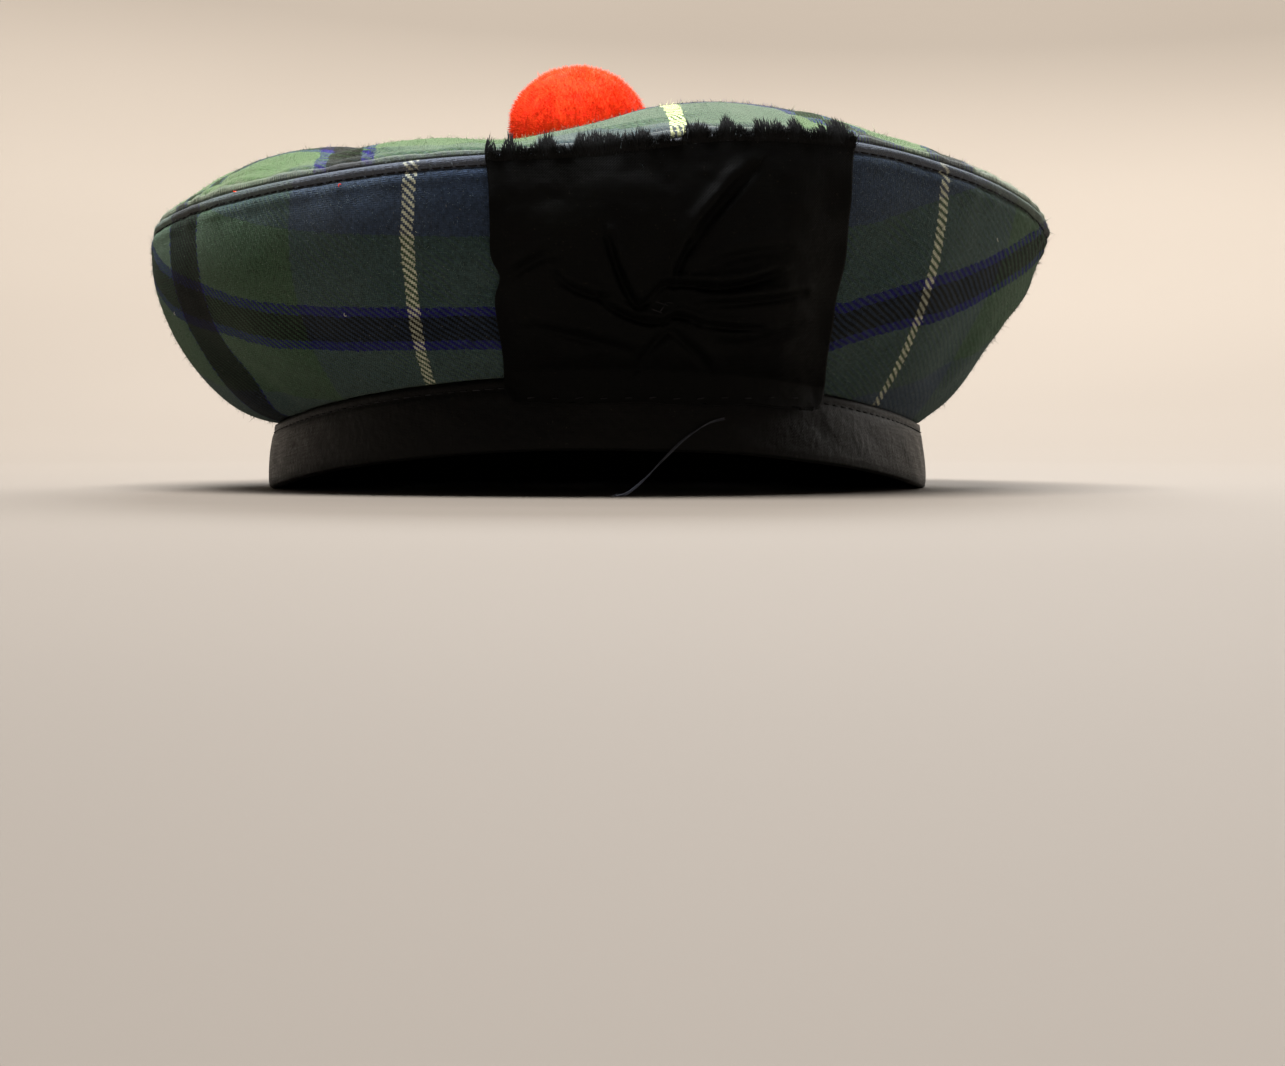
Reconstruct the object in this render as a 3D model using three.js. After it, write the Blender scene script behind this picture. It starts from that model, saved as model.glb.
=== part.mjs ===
// A soft tartan tam o' shanter as it sits on a table: a puffed crown of two cloth pieces, a bound
// headband, a gathered ribbon cockade on the front and a wool pompom on top.
// Millimetres, +Z up. The front, with the cockade, faces -Y. The origin is on the table, under the
// middle of the hat. Angles run round the hat in degrees from the front, and are positive towards +X.
import * as THREE from "three";

// Driving dimensions.
const CLOTH = 1.5; // thickness of the woollen cloth
const FIT_GAP = 0.3; // room left between pieces that are sewn together
const BAND_WALL = 2.4; // the ribbon binding, folded round the edge of the crown
const BAND_HALF_WIDTH = 84; // half the band's outer width at the table, side to side
const BAND_HALF_DEPTH = 92.5; // and front to back
const BAND_TAPER = 1.6; // how much narrower the band's top edge is
const BAND_BEVEL = 0.4; // softened corners of the band
const BAND_HEIGHT_SIDE = 16;
const BAND_HEIGHT_FRONT = 16.5;
const ARCH_HEIGHT = 10.5; // the band's front stands clear of the table
const ARCH_HALF_ANGLE = 80;
const ARCH_POWER = 0.75; // under 1 keeps the arch broad

const CENTRE_HEIGHT = 75.5; // the top cloth under the pompom, drawn down by its stitches
const CREST_AT = 0.62; // where the puffed top is highest, as a share of the seam's radius
const PUFF_POWER = 2.3; // how steeply the top falls from its crest to the seam

const POMPOM = { x: -5, y: 0, height: 92, width: 35.4, depth: 34.6, thickness: 31.6 };

const COCKADE = {
  bottomLeft: -21, // side to side places of its four corners
  bottomRight: 51,
  topLeft: -24.5,
  topRight: 57.5,
  overBand: 6, // how far it hangs over the band
  overSeam: 1.5, // how far its frayed edge stands above the crown's seam
  standOff: 0.5, // clear of the cloth behind it
  thickness: 1.4,
  pinchX: 15, // where its gathering stitches are
  pinchShare: 0.36, // and how far up it, as a share of its height
};

// Resolution of the faceted solids.
const STEPS_ROUND = 72;
const SIDE_ROWS = 9;
const TOP_ROWS = 10;
const COCKADE_COLUMNS = 22;
const COCKADE_ROWS = 16;

// The crown's seam, where the top piece meets the side piece.
const SEAM = [
  { angle: -180, height: 52, radius: 115 },
  { angle: -135, height: 56.5, radius: 115 },
  { angle: -90, height: 64, radius: 112 },
  { angle: -65, height: 67.5, radius: 112.5 },
  { angle: -45, height: 71, radius: 113.5 },
  { angle: -20, height: 75.2, radius: 114 },
  { angle: 0, height: 77, radius: 114.5 },
  { angle: 14, height: 80.5, radius: 115 },
  { angle: 30, height: 80, radius: 115 },
  { angle: 46, height: 76, radius: 115 },
  { angle: 62, height: 71, radius: 115 },
  { angle: 78, height: 66, radius: 115 },
  { angle: 90, height: 63.5, radius: 114.5 },
  { angle: 135, height: 57, radius: 115 },
];

// The puffed top's highest ring, with the hump to the right of the pompom.
const CREST = [
  { angle: -180, height: 70 },
  { angle: -135, height: 74 },
  { angle: -100, height: 79 },
  { angle: -75, height: 81.5 },
  { angle: -60, height: 82.7 },
  { angle: -42, height: 83 },
  { angle: -30, height: 83.2 },
  { angle: -17, height: 83.8 },
  { angle: 0, height: 87.6 },
  { angle: 10, height: 90.2 },
  { angle: 20, height: 91.4 },
  { angle: 30, height: 90.8 },
  { angle: 37, height: 89 },
  { angle: 45, height: 86.8 },
  { angle: 60, height: 84.6 },
  { angle: 75, height: 81 },
  { angle: 90, height: 78 },
  { angle: 135, height: 73 },
];

// The side piece's swell: how its handles leave the seam (out and down) and the band (out and up).
const SWELL = [
  { angle: -180, seamOut: 5, seamDown: 14, bandOut: 16, bandUp: 2 },
  { angle: -135, seamOut: 6, seamDown: 15, bandOut: 17, bandUp: 2 },
  { angle: -90, seamOut: 6, seamDown: 17, bandOut: 18, bandUp: 2 },
  { angle: -60, seamOut: 4, seamDown: 18, bandOut: 14, bandUp: 5 },
  { angle: 0, seamOut: 1, seamDown: 20, bandOut: 9, bandUp: 12 },
  { angle: 45, seamOut: 0, seamDown: 16, bandOut: 11, bandUp: 12 },
  { angle: 90, seamOut: -3, seamDown: 14, bandOut: 13, bandUp: 11 },
  { angle: 135, seamOut: 2, seamDown: 14, bandOut: 15, bandUp: 5 },
];

// Soft hollows (negative) and rolls in the side piece: where, how wide, and how deep.
const FOLDS = [
  { angle: -63, drop: 0.72, halfAngle: 9, halfDrop: 0.3, depth: -2.4 },
  { angle: -48, drop: 0.55, halfAngle: 10, halfDrop: 0.35, depth: 1.0 },
  { angle: -100, drop: 0.45, halfAngle: 14, halfDrop: 0.3, depth: 1.4 },
  { angle: 64, drop: 0.6, halfAngle: 8, halfDrop: 0.35, depth: -1.2 },
  { angle: 84, drop: 0.8, halfAngle: 9, halfDrop: 0.3, depth: 1.3 },
  { angle: 128, drop: 0.6, halfAngle: 12, halfDrop: 0.35, depth: -1.8 },
  { angle: 165, drop: 0.5, halfAngle: 14, halfDrop: 0.4, depth: 1.4 },
  { angle: -150, drop: 0.65, halfAngle: 12, halfDrop: 0.35, depth: -1.8 },
];

// Creases that run from the cockade's pinch: direction (0 is towards +X, 90 is up), reach and depth.
const CREASES = [
  { direction: 4, halfWidth: 13, depth: 0.9 },
  { direction: 52, halfWidth: 14, depth: 0.6 },
  { direction: 118, halfWidth: 14, depth: 0.6 },
  { direction: 172, halfWidth: 14, depth: 0.9 },
  { direction: 218, halfWidth: 13, depth: 0.6 },
  { direction: 322, halfWidth: 13, depth: 0.6 },
];

const radians = THREE.MathUtils.degToRad;
const lerp = THREE.MathUtils.lerp;
const clamp = THREE.MathUtils.clamp;
const smooth = (share) => share * share * (3 - 2 * share);

// An angle as the nearest turn of it to another angle.
function nearTo(angle, other) {
  return other + THREE.MathUtils.euclideanModulo(angle - other + 180, 360) - 180;
}

// A column of a table of angles, read at any angle by a smooth curve that closes on itself.
function around(rows, column, angle) {
  const count = rows.length;
  const row = (i) => {
    const turns = Math.floor(i / count);
    const found = rows[i - turns * count];
    return { angle: found.angle + 360 * turns, value: found[column] };
  };
  const wanted = rows[0].angle + THREE.MathUtils.euclideanModulo(angle - rows[0].angle, 360);
  let i = 0;
  while (row(i + 1).angle <= wanted) i += 1;
  const [before, from, to, after] = [row(i - 1), row(i), row(i + 1), row(i + 2)];
  const span = to.angle - from.angle;
  const slopeFrom = ((to.value - before.value) / (to.angle - before.angle)) * span;
  const slopeTo = ((after.value - from.value) / (after.angle - from.angle)) * span;
  const u = (wanted - from.angle) / span;
  const [u2, u3] = [u * u, u * u * u];
  return (
    (2 * u3 - 3 * u2 + 1) * from.value +
    (u3 - 2 * u2 + u) * slopeFrom +
    (3 * u2 - 2 * u3) * to.value +
    (u3 - u2) * slopeTo
  );
}

// A bump that is 1 at its middle and falls smoothly to 0 at its half width.
const bump = (offset, half) => (Math.abs(offset) >= half ? 0 : Math.cos((offset / half) * (Math.PI / 2)) ** 2);

// A place given by angle, radius and height.
function place(angle, { x: radius, y: height }) {
  const turn = radians(angle);
  return new THREE.Vector3(radius * Math.sin(turn), -radius * Math.cos(turn), height);
}

// The band's outer radius at an angle, `share` of the way from its lower to its upper edge.
function bandRadius(angle, share) {
  const turn = radians(angle);
  const acrossShare = Math.sin(turn) / (BAND_HALF_WIDTH - BAND_TAPER * share);
  const alongShare = Math.cos(turn) / (BAND_HALF_DEPTH - BAND_TAPER * share);
  return 1 / Math.hypot(acrossShare, alongShare);
}

const frontShare = (angle) => bump(nearTo(angle, 0), ARCH_HALF_ANGLE) ** ARCH_POWER;
const bandFoot = (angle) => ARCH_HEIGHT * frontShare(angle);
const bandHeight = (angle) => lerp(BAND_HEIGHT_SIDE, BAND_HEIGHT_FRONT, frontShare(angle));
const bandTop = (angle) => bandFoot(angle) + bandHeight(angle);

function seamPoint(angle) {
  return new THREE.Vector2(around(SEAM, "radius", angle), around(SEAM, "height", angle));
}

// The side piece's outer surface as (radius, height), `drop` of the way from the seam to the band.
function sidePoint(angle, drop) {
  const seam = seamPoint(angle);
  const foot = new THREE.Vector2(bandRadius(angle, 1) - (BAND_WALL - CLOTH) / 2, bandTop(angle) + FIT_GAP);
  const swell = (column) => around(SWELL, column, angle);
  const underSeam = new THREE.Vector2(seam.x + swell("seamOut"), seam.y - swell("seamDown"));
  const overBand = new THREE.Vector2(foot.x + swell("bandOut"), foot.y + swell("bandUp"));
  const point = new THREE.CubicBezierCurve(seam, underSeam, overBand, foot).getPoint(drop);
  for (const fold of FOLDS) {
    const swellHere = bump(nearTo(angle, fold.angle) - fold.angle, fold.halfAngle);
    point.x += fold.depth * swellHere * bump(drop - fold.drop, fold.halfDrop);
  }
  return point;
}

// The top piece's outer surface as (radius, height), `share` of the way from its centre to the seam.
function topPoint(angle, share) {
  const seam = seamPoint(angle);
  const crest = around(CREST, "height", angle);
  const outer = clamp((share - CREST_AT) / (1 - CREST_AT), 0, 1);
  const inner = clamp(share / CREST_AT, 0, 1);
  const height =
    share > CREST_AT
      ? crest - (crest - seam.y) * outer ** PUFF_POWER
      : lerp(CENTRE_HEIGHT, crest, smooth(inner));
  return new THREE.Vector2(seam.x * share, height);
}

// The same line moved to its left by a distance, for the cloth's other face.
function offsetLine(points, distance) {
  return points.map((point, i) => {
    const before = points[Math.max(i - 1, 0)];
    const after = points[Math.min(i + 1, points.length - 1)];
    const along = after.clone().sub(before).normalize();
    return point.clone().add(new THREE.Vector2(-along.y, along.x).multiplyScalar(distance));
  });
}

const shares = (rows) => Array.from({ length: rows + 1 }, (_, i) => i / rows);

// How the cloth's cut edge is mitred at the seam, from its outer to its inner face.
const SEAM_MITRE = new THREE.Vector2(-CLOTH, -CLOTH / 2);

// The wall of the side piece at an angle, as a loop that goes up its outside and down its inside.
function sideWall(angle) {
  const outside = shares(SIDE_ROWS).map((share) => sidePoint(angle, 1 - share));
  const inside = offsetLine(outside, CLOTH);
  const rim = outside[SIDE_ROWS];
  rim.y -= FIT_GAP / 2;
  inside[SIDE_ROWS].copy(rim).add(SEAM_MITRE);
  inside[0].set(outside[0].x - CLOTH, outside[0].y);
  return [...outside, ...inside.reverse()];
}

// The wall of the top piece at an angle, from the seam up its outside to the centre and back inside.
function topWall(angle) {
  const outside = shares(TOP_ROWS).map((share) => topPoint(angle, 1 - share));
  const inside = offsetLine(outside, CLOTH);
  const rim = outside[0];
  rim.y += FIT_GAP / 2;
  inside[0].copy(rim).add(SEAM_MITRE);
  inside[TOP_ROWS].set(0, CENTRE_HEIGHT - CLOTH);
  return { outside, inside };
}

// The band's wall at an angle: flat where it rests, with softened corners.
function bandWall(angle) {
  const [low, high] = [bandFoot(angle), bandTop(angle)];
  const [lowRadius, highRadius] = [bandRadius(angle, 0), bandRadius(angle, 1)];
  const corner = (radius, height) => new THREE.Vector2(radius, height);
  return [
    corner(lowRadius - BAND_BEVEL, low),
    corner(lowRadius, low + BAND_BEVEL),
    corner((lowRadius + highRadius) / 2, (low + high) / 2),
    corner(highRadius, high - BAND_BEVEL),
    corner(highRadius - BAND_BEVEL, high),
    corner(highRadius - BAND_WALL + BAND_BEVEL, high),
    corner(highRadius - BAND_WALL, high - BAND_BEVEL),
    corner((lowRadius + highRadius) / 2 - BAND_WALL, (low + high) / 2),
    corner(lowRadius - BAND_WALL, low + BAND_BEVEL),
    corner(lowRadius - BAND_WALL + BAND_BEVEL, low),
  ];
}

function geometryOf(points, faces) {
  const geometry = new THREE.BufferGeometry().setFromPoints(points).setIndex(faces);
  geometry.computeVertexNormals();
  return geometry;
}

const angles = Array.from({ length: STEPS_ROUND }, (_, i) => (360 * i) / STEPS_ROUND - 180);

// The two triangles of a four-cornered face.
const quad = (a, b, c, d) => [a, b, c, a, c, d];

// A closed ring lofted through the same loop of points at every angle.
function ringGeometry(wallAt) {
  const walls = angles.map((angle) => wallAt(angle).map((point) => place(angle, point)));
  const loop = walls[0].length;
  const faces = [];
  walls.forEach((_, i) => {
    const [here, next] = [i * loop, ((i + 1) % STEPS_ROUND) * loop];
    for (let j = 0; j < loop; j += 1) {
      const k = (j + 1) % loop;
      faces.push(...quad(here + j, next + j, next + k, here + k));
    }
  });
  return geometryOf(walls.flat(), faces);
}

// A closed dish: its outside and inside each end in one point at the middle.
function dishGeometry(wallAt) {
  const points = [];
  const loops = angles.map((angle) => {
    const { outside, inside } = wallAt(angle);
    const loop = [...outside.slice(0, -1), ...inside.slice(0, -1).reverse()];
    points.push(...loop.map((point) => place(angle, point)));
    return { upper: outside.at(-1), lower: inside.at(-1), rows: outside.length - 1 };
  });
  const { upper, lower, rows } = loops[0];
  const [top, bottom] = [points.length, points.length + 1];
  points.push(place(0, upper), place(0, lower));
  const faces = [];
  angles.forEach((_, i) => {
    const [here, next] = [i * 2 * rows, ((i + 1) % STEPS_ROUND) * 2 * rows];
    for (let j = 0; j < 2 * rows; j += 1) {
      const k = (j + 1) % (2 * rows);
      if (j !== rows - 1) faces.push(...quad(here + j, next + j, next + k, here + k));
    }
    faces.push(here + rows - 1, next + rows - 1, top, bottom, next + rows, here + rows);
  });
  return geometryOf(points, faces);
}

// The radius of the hat's front at a height: the band below, the side piece above, the seam on top.
function frontRadius(angle, height) {
  const band = bandRadius(angle, clamp((height - bandFoot(angle)) / bandHeight(angle), 0, 1));
  if (height <= bandTop(angle)) return band;
  let [low, high] = [0, 1];
  for (let i = 0; i < 24; i += 1) {
    const middle = (low + high) / 2;
    if (sidePoint(angle, middle).y > height) low = middle;
    else high = middle;
  }
  return Math.max(band, sidePoint(angle, low).x);
}

// How far the gathered ribbon stands out at a place measured from its pinch.
function gatherHeight(across, up) {
  const distance = Math.hypot(across, up);
  const direction = (Math.atan2(up, across) * 180) / Math.PI;
  const nearPinch = Math.exp(-((distance / 9) ** 2));
  let height = 1.1 * (1 - nearPinch);
  for (const crease of CREASES) {
    const away = nearTo(direction, crease.direction) - crease.direction;
    height += crease.depth * bump(away, crease.halfWidth) * bump(distance - 14, 14);
  }
  return height;
}

// A place on the cockade: `across` and `up` are shares of its width and height, `out` its standing out.
function cockadePoint(across, up, out) {
  const left = lerp(COCKADE.bottomLeft, COCKADE.topLeft, up);
  const right = lerp(COCKADE.bottomRight, COCKADE.topRight, up);
  const x = lerp(left, right, across);
  let radius = BAND_HALF_DEPTH;
  let [angle, height] = [0, 0];
  for (let i = 0; i < 12; i += 1) {
    angle = THREE.MathUtils.radToDeg(Math.asin(x / radius));
    const bottom = bandTop(angle) - COCKADE.overBand;
    const top = around(SEAM, "height", angle) + COCKADE.overSeam;
    height = lerp(bottom, top, up);
    radius = frontRadius(angle, height);
  }
  return place(angle, new THREE.Vector2(radius + COCKADE.standOff + out, height));
}

// A sheet with a front and a back face, closed round its four edges.
function sheetGeometry(columns, rows, frontAt, backAt) {
  const points = [];
  const faces = [];
  const width = columns + 1;
  for (const faceAt of [frontAt, backAt])
    for (let j = 0; j <= rows; j += 1)
      for (let i = 0; i <= columns; i += 1) points.push(faceAt(i / columns, j / rows));
  const back = width * (rows + 1);
  const at = (i, j) => j * width + i;
  for (let j = 0; j < rows; j += 1)
    for (let i = 0; i < columns; i += 1) {
      const corners = [at(i, j), at(i + 1, j), at(i + 1, j + 1), at(i, j + 1)];
      faces.push(...quad(...corners));
      faces.push(...quad(...corners.map((corner) => back + corner).reverse()));
    }
  const edge = [];
  for (let i = 0; i < columns; i += 1) edge.push(at(i, 0));
  for (let j = 0; j < rows; j += 1) edge.push(at(columns, j));
  for (let i = columns; i > 0; i -= 1) edge.push(at(i, rows));
  for (let j = rows; j > 0; j -= 1) edge.push(at(0, j));
  edge.forEach((here, i) => {
    const next = edge[(i + 1) % edge.length];
    faces.push(...quad(next, here, back + here, back + next));
  });
  return geometryOf(points, faces);
}

// The cockade's height along the front, for the spread of its creases.
const COCKADE_HEIGHT = seamPoint(0).y + COCKADE.overSeam - bandTop(0) + COCKADE.overBand;
const COCKADE_EDGE = 8; // its gathers fade this close to its edges

function cockadeGeometry() {
  const frontAt = (across, up) => {
    const fromPinch = lerp(COCKADE.bottomLeft, COCKADE.bottomRight, across) - COCKADE.pinchX;
    const abovePinch = (up - COCKADE.pinchShare) * COCKADE_HEIGHT;
    const nearEdge = Math.min(across, 1 - across) * (COCKADE.topRight - COCKADE.topLeft);
    const fullness = clamp(nearEdge / COCKADE_EDGE, 0, 1);
    return cockadePoint(across, up, COCKADE.thickness + fullness * gatherHeight(fromPinch, abovePinch));
  };
  return sheetGeometry(COCKADE_COLUMNS, COCKADE_ROWS, frontAt, (across, up) => cockadePoint(across, up, 0));
}

function pompomGeometry() {
  const ball = new THREE.SphereGeometry(0.5, 26, 16).rotateX(Math.PI / 2);
  return ball.scale(POMPOM.width, POMPOM.depth, POMPOM.thickness);
}

const finish = (color, roughness) => new THREE.MeshStandardMaterial({ color, roughness, metalness: 0 });
const tartan = finish(0x2f4743, 0.95);
const ribbon = finish(0x0c0c0b, 0.7);
const silk = finish(0x0a0a09, 0.55);
const wool = finish(0xff3b14, 1);

function piece(name, geometry, material) {
  const mesh = new THREE.Mesh(geometry, material);
  mesh.name = name;
  return mesh;
}

const hat = new THREE.Group();
const pompom = piece("pompom", pompomGeometry(), wool);
pompom.position.set(POMPOM.x, POMPOM.y, POMPOM.height);
hat.add(
  piece("crown_top", dishGeometry(topWall), tartan),
  piece("crown_side", ringGeometry(sideWall), tartan),
  piece("headband", ringGeometry(bandWall), ribbon),
  piece("cockade", cockadeGeometry(), silk),
  pompom,
);

export default hat;
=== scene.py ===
"""A soft tartan tam o' shanter at rest on a pale table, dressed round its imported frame.

The hat is worked out in millimetres, with +Z up and its front towards -Y, and turned into metres
as each mesh is made. Angles run round it in degrees from the front, positive towards +X.
"""

import logging
import math
from dataclasses import dataclass, replace
from enum import Enum
from typing import Any, NamedTuple, Sequence

import bpy
import numpy as np
from bpy.types import Material, NodeSocket, NodeTree
from mathutils import Euler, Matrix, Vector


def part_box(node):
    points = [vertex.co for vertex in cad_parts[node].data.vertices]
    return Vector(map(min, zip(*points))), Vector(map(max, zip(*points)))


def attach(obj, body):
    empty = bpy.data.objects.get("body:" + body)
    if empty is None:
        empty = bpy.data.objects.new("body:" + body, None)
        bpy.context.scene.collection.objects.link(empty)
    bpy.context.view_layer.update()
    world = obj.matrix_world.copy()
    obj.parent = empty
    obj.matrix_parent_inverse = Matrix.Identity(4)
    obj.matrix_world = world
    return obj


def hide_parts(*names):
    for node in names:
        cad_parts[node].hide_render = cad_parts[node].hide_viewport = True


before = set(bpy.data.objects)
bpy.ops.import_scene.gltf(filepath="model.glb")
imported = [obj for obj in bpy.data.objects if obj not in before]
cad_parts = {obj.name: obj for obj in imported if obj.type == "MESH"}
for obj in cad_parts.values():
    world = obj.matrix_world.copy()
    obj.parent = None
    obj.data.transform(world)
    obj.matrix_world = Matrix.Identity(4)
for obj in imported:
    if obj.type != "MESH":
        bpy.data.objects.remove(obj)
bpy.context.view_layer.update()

LOG = logging.getLogger("tam_o_shanter")
MM = 0.001
BODY = "root"
CLOTH_MAP = "cloth"
SEAM_MAP = "seam"
Array = np.ndarray


class Slot(Enum):
    """The record's material slots."""

    TARTAN = "tartan_wool"
    BINDING = "black_binding"
    RIBBON = "cockade_ribbon"
    POMPOM = "pompom_wool"


# ---------------------------------------------------------------------------------------------
# Tables and curves


class SeamRow(NamedTuple):
    """A place on the crown's seam."""

    angle: float
    height: float
    radius: float


class CrestRow(NamedTuple):
    """The height of the puffed top's highest ring."""

    angle: float
    height: float


class SwellRow(NamedTuple):
    """How the side piece leaves the seam (out, down) and the band (out, up)."""

    angle: float
    seam_out: float
    seam_down: float
    band_out: float
    band_up: float


class GrainRow(NamedTuple):
    """How far the side piece's weft has drifted down from a true line."""

    angle: float
    drift: float


class LongCrease(NamedTuple):
    """A crease in the top piece that runs beside the seam, at a distance from it."""

    angle: float
    half_angle: float
    away: float
    width: float
    depth: float


class SoftFold(NamedTuple):
    """A hollow (negative) or roll in the side piece, at a share of the way down."""

    angle: float
    drop: float
    half_angle: float
    half_drop: float
    depth: float


class Pleat(NamedTuple):
    """A gathered fold of the cockade: a curve seen from the front, measured from the pinch."""

    start: tuple[float, float]
    bend: tuple[float, float]
    end: tuple[float, float]
    width: float
    depth: float
    lip: float


class Swells(NamedTuple):
    """Soft random swells: their spacing, how far they stand out and which ones they are."""

    size: float
    depth: float
    seed: int


class Fibre(NamedTuple):
    """A bit of lint on the side piece, at a row of points down from the seam."""

    angle: float
    row: int
    length: float


class Bar(NamedTuple):
    """A stitch at the cockade's pinch, from one end to the other, measured from the pinch."""

    from_x: float
    from_z: float
    to_x: float
    to_z: float


SEAM = (
    SeamRow(-180, 52, 115), SeamRow(-135, 56.5, 115), SeamRow(-90, 64, 112), SeamRow(-65, 67.5, 112.5),
    SeamRow(-45, 71, 113.5), SeamRow(-20, 75.2, 114), SeamRow(0, 77, 114.5), SeamRow(14, 80.5, 115),
    SeamRow(30, 80, 115), SeamRow(46, 76, 115), SeamRow(62, 71, 115), SeamRow(78, 66, 115),
    SeamRow(90, 63.5, 114.5), SeamRow(135, 57, 115),
)

CREST = (
    CrestRow(-180, 70), CrestRow(-135, 74), CrestRow(-100, 79), CrestRow(-75, 81.5),
    CrestRow(-60, 82.3), CrestRow(-51, 82.6), CrestRow(-43.5, 80.2), CrestRow(-36, 82.1),
    CrestRow(-26, 82.8), CrestRow(-17, 82.4), CrestRow(-10, 83.2), CrestRow(0, 86.6),
    CrestRow(10, 90.1), CrestRow(20, 91.4), CrestRow(30, 90.8),
    CrestRow(37, 89), CrestRow(45, 86.8), CrestRow(60, 84.6), CrestRow(75, 81),
    CrestRow(90, 78), CrestRow(135, 73),
)

SWELL = (
    SwellRow(-180, 5, 14, 16, 2), SwellRow(-135, 6, 15, 17, 2), SwellRow(-90, 6, 17, 18, 2),
    SwellRow(-60, 4, 18, 14, 5), SwellRow(0, 1, 20, 9, 12), SwellRow(45, 0, 16, 11, 12),
    SwellRow(90, -3, 14, 13, 11), SwellRow(135, 2, 14, 15, 5),
)

LONG_CREASES = (
    LongCrease(42, 26, 10.5, 1.0, 1.0), LongCrease(34, 16, 15.5, 1.5, 0.9),
    LongCrease(58, 18, 8.2, 0.8, 0.7), LongCrease(4, 12, 11.5, 1.3, 0.7),
    LongCrease(-30, 9, 8.5, 1.1, 1.1), LongCrease(-55, 14, 9.5, 1.0, 0.6),
    LongCrease(-15, 9, 12.5, 1.6, 0.8), LongCrease(100, 24, 11.0, 1.4, 0.8),
    LongCrease(-110, 22, 10.0, 1.3, 0.8), LongCrease(165, 30, 12.0, 1.5, 0.8),
)

GRAIN = (
    GrainRow(-180, 0), GrainRow(-120, -1.5), GrainRow(-76, -2), GrainRow(-58, 0.6), GrainRow(-43, 0),
    GrainRow(-14, 0), GrainRow(33, -3.9), GrainRow(38, -1.6), GrainRow(44, 0.9), GrainRow(51, 2.1),
    GrainRow(60, 3.5), GrainRow(68, 4.8), GrainRow(90, 6), GrainRow(135, 2),
)

SOFT_FOLDS = (
    SoftFold(-63, 0.72, 9, 0.3, -2.4), SoftFold(-48, 0.55, 10, 0.35, 1.0),
    SoftFold(-100, 0.45, 14, 0.3, 1.4), SoftFold(64, 0.6, 8, 0.35, -1.2),
    SoftFold(84, 0.8, 9, 0.3, 1.3), SoftFold(128, 0.6, 12, 0.35, -1.8),
    SoftFold(165, 0.5, 14, 0.4, 1.4), SoftFold(-150, 0.65, 12, 0.35, -1.8),
    SoftFold(-67, 0.88, 6, 0.24, 1.9), SoftFold(-58, 0.84, 5, 0.22, -1.3),
    SoftFold(84, 0.34, 7, 0.16, 0.9), SoftFold(79, 0.5, 7, 0.16, 1.0), SoftFold(73, 0.66, 7, 0.18, 1.0),
)

PLEATS = (
    Pleat((-14, 1.8), (-7, -4), (0.5, -3.4), 0.8, 1.6, 0.7),
    Pleat((0.5, -3.4), (3, -0.6), (7.8, -3.6), 0.7, 1.3, 0.7),
    Pleat((7.8, -3.6), (14, -5), (20.6, -4.6), 0.8, 1.2, 0.6),
    Pleat((-12, 14.5), (-9.5, 5), (-5.4, -0.8), 0.9, 1.7, 0.8),
    Pleat((-5.4, 0.2), (-3.5, 0.6), (-0.5, 4.2), 0.8, 1.5, 0.5),
    Pleat((-23, 6.7), (-19.5, 2.2), (-10.8, 1.8), 0.9, 1.3, 0.6),
    Pleat((-0.5, 4.6), (3, 5.2), (9.8, 4.2), 0.8, 1.5, 0.9),
    Pleat((8.5, 4.4), (15, 3.4), (24.5, 7.4), 1.0, 1.6, 1.0),
    Pleat((9, 0.5), (18, 0.5), (31, 3.2), 0.9, 1.1, 0.7),
    Pleat((2.3, 4.5), (2.6, 9), (6, 13.5), 0.9, 1.3, 0.8),
    Pleat((5, 12.5), (10, 20), (19.6, 30), 1.3, 1.4, 1.0),
    Pleat((-28, -4.6), (-20, -6), (-7, -10), 1.1, 1.0, 0.6),
    Pleat((1, -5.4), (-2.5, -8), (-5.4, -13.4), 1.0, 0.9, 0.7),
    Pleat((2, -5.4), (5, -8), (9.8, -13), 1.0, 0.9, 0.7),
    Pleat((-35, 5), (-31, 9), (-24, 11), 1.2, 1.1, 0.5),
    Pleat((12, -8), (20, -9), (30, -4), 1.3, 0.8, 0.5),
    Pleat((10, 9), (17, 12), (26, 12.5), 1.2, 0.7, 0.5),
)


WRINKLES = (Swells(34, 0.9, 1), Swells(13, 0.32, 2), Swells(5.5, 0.09, 3))
BINDING_CREASES = (Swells(6.5, 0.16, 21), Swells(2.6, 0.05, 22))
CRUMPLES = (Swells(7, 0.42, 31), Swells(3.1, 0.17, 32), Swells(1.5, 0.05, 33))

ORANGE_LINT = (Fibre(-47.5, 1, 1.6), Fibre(-30, 10, 1.1))
PALE_LINT = (Fibre(-33.5, 49, 1.1), Fibre(58, 27, 1.4), Fibre(-72, 38, 1.2), Fibre(150, 33, 1.6))

PINCH_STITCHES = (
    Bar(-1.6, 1.2, 1.5, 0.3), Bar(-0.4, -1.4, 1.1, 1.4), Bar(-2.4, -0.3, 0.2, -1.3), Bar(0.6, 0.9, 2.6, 1.1),
)


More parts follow.
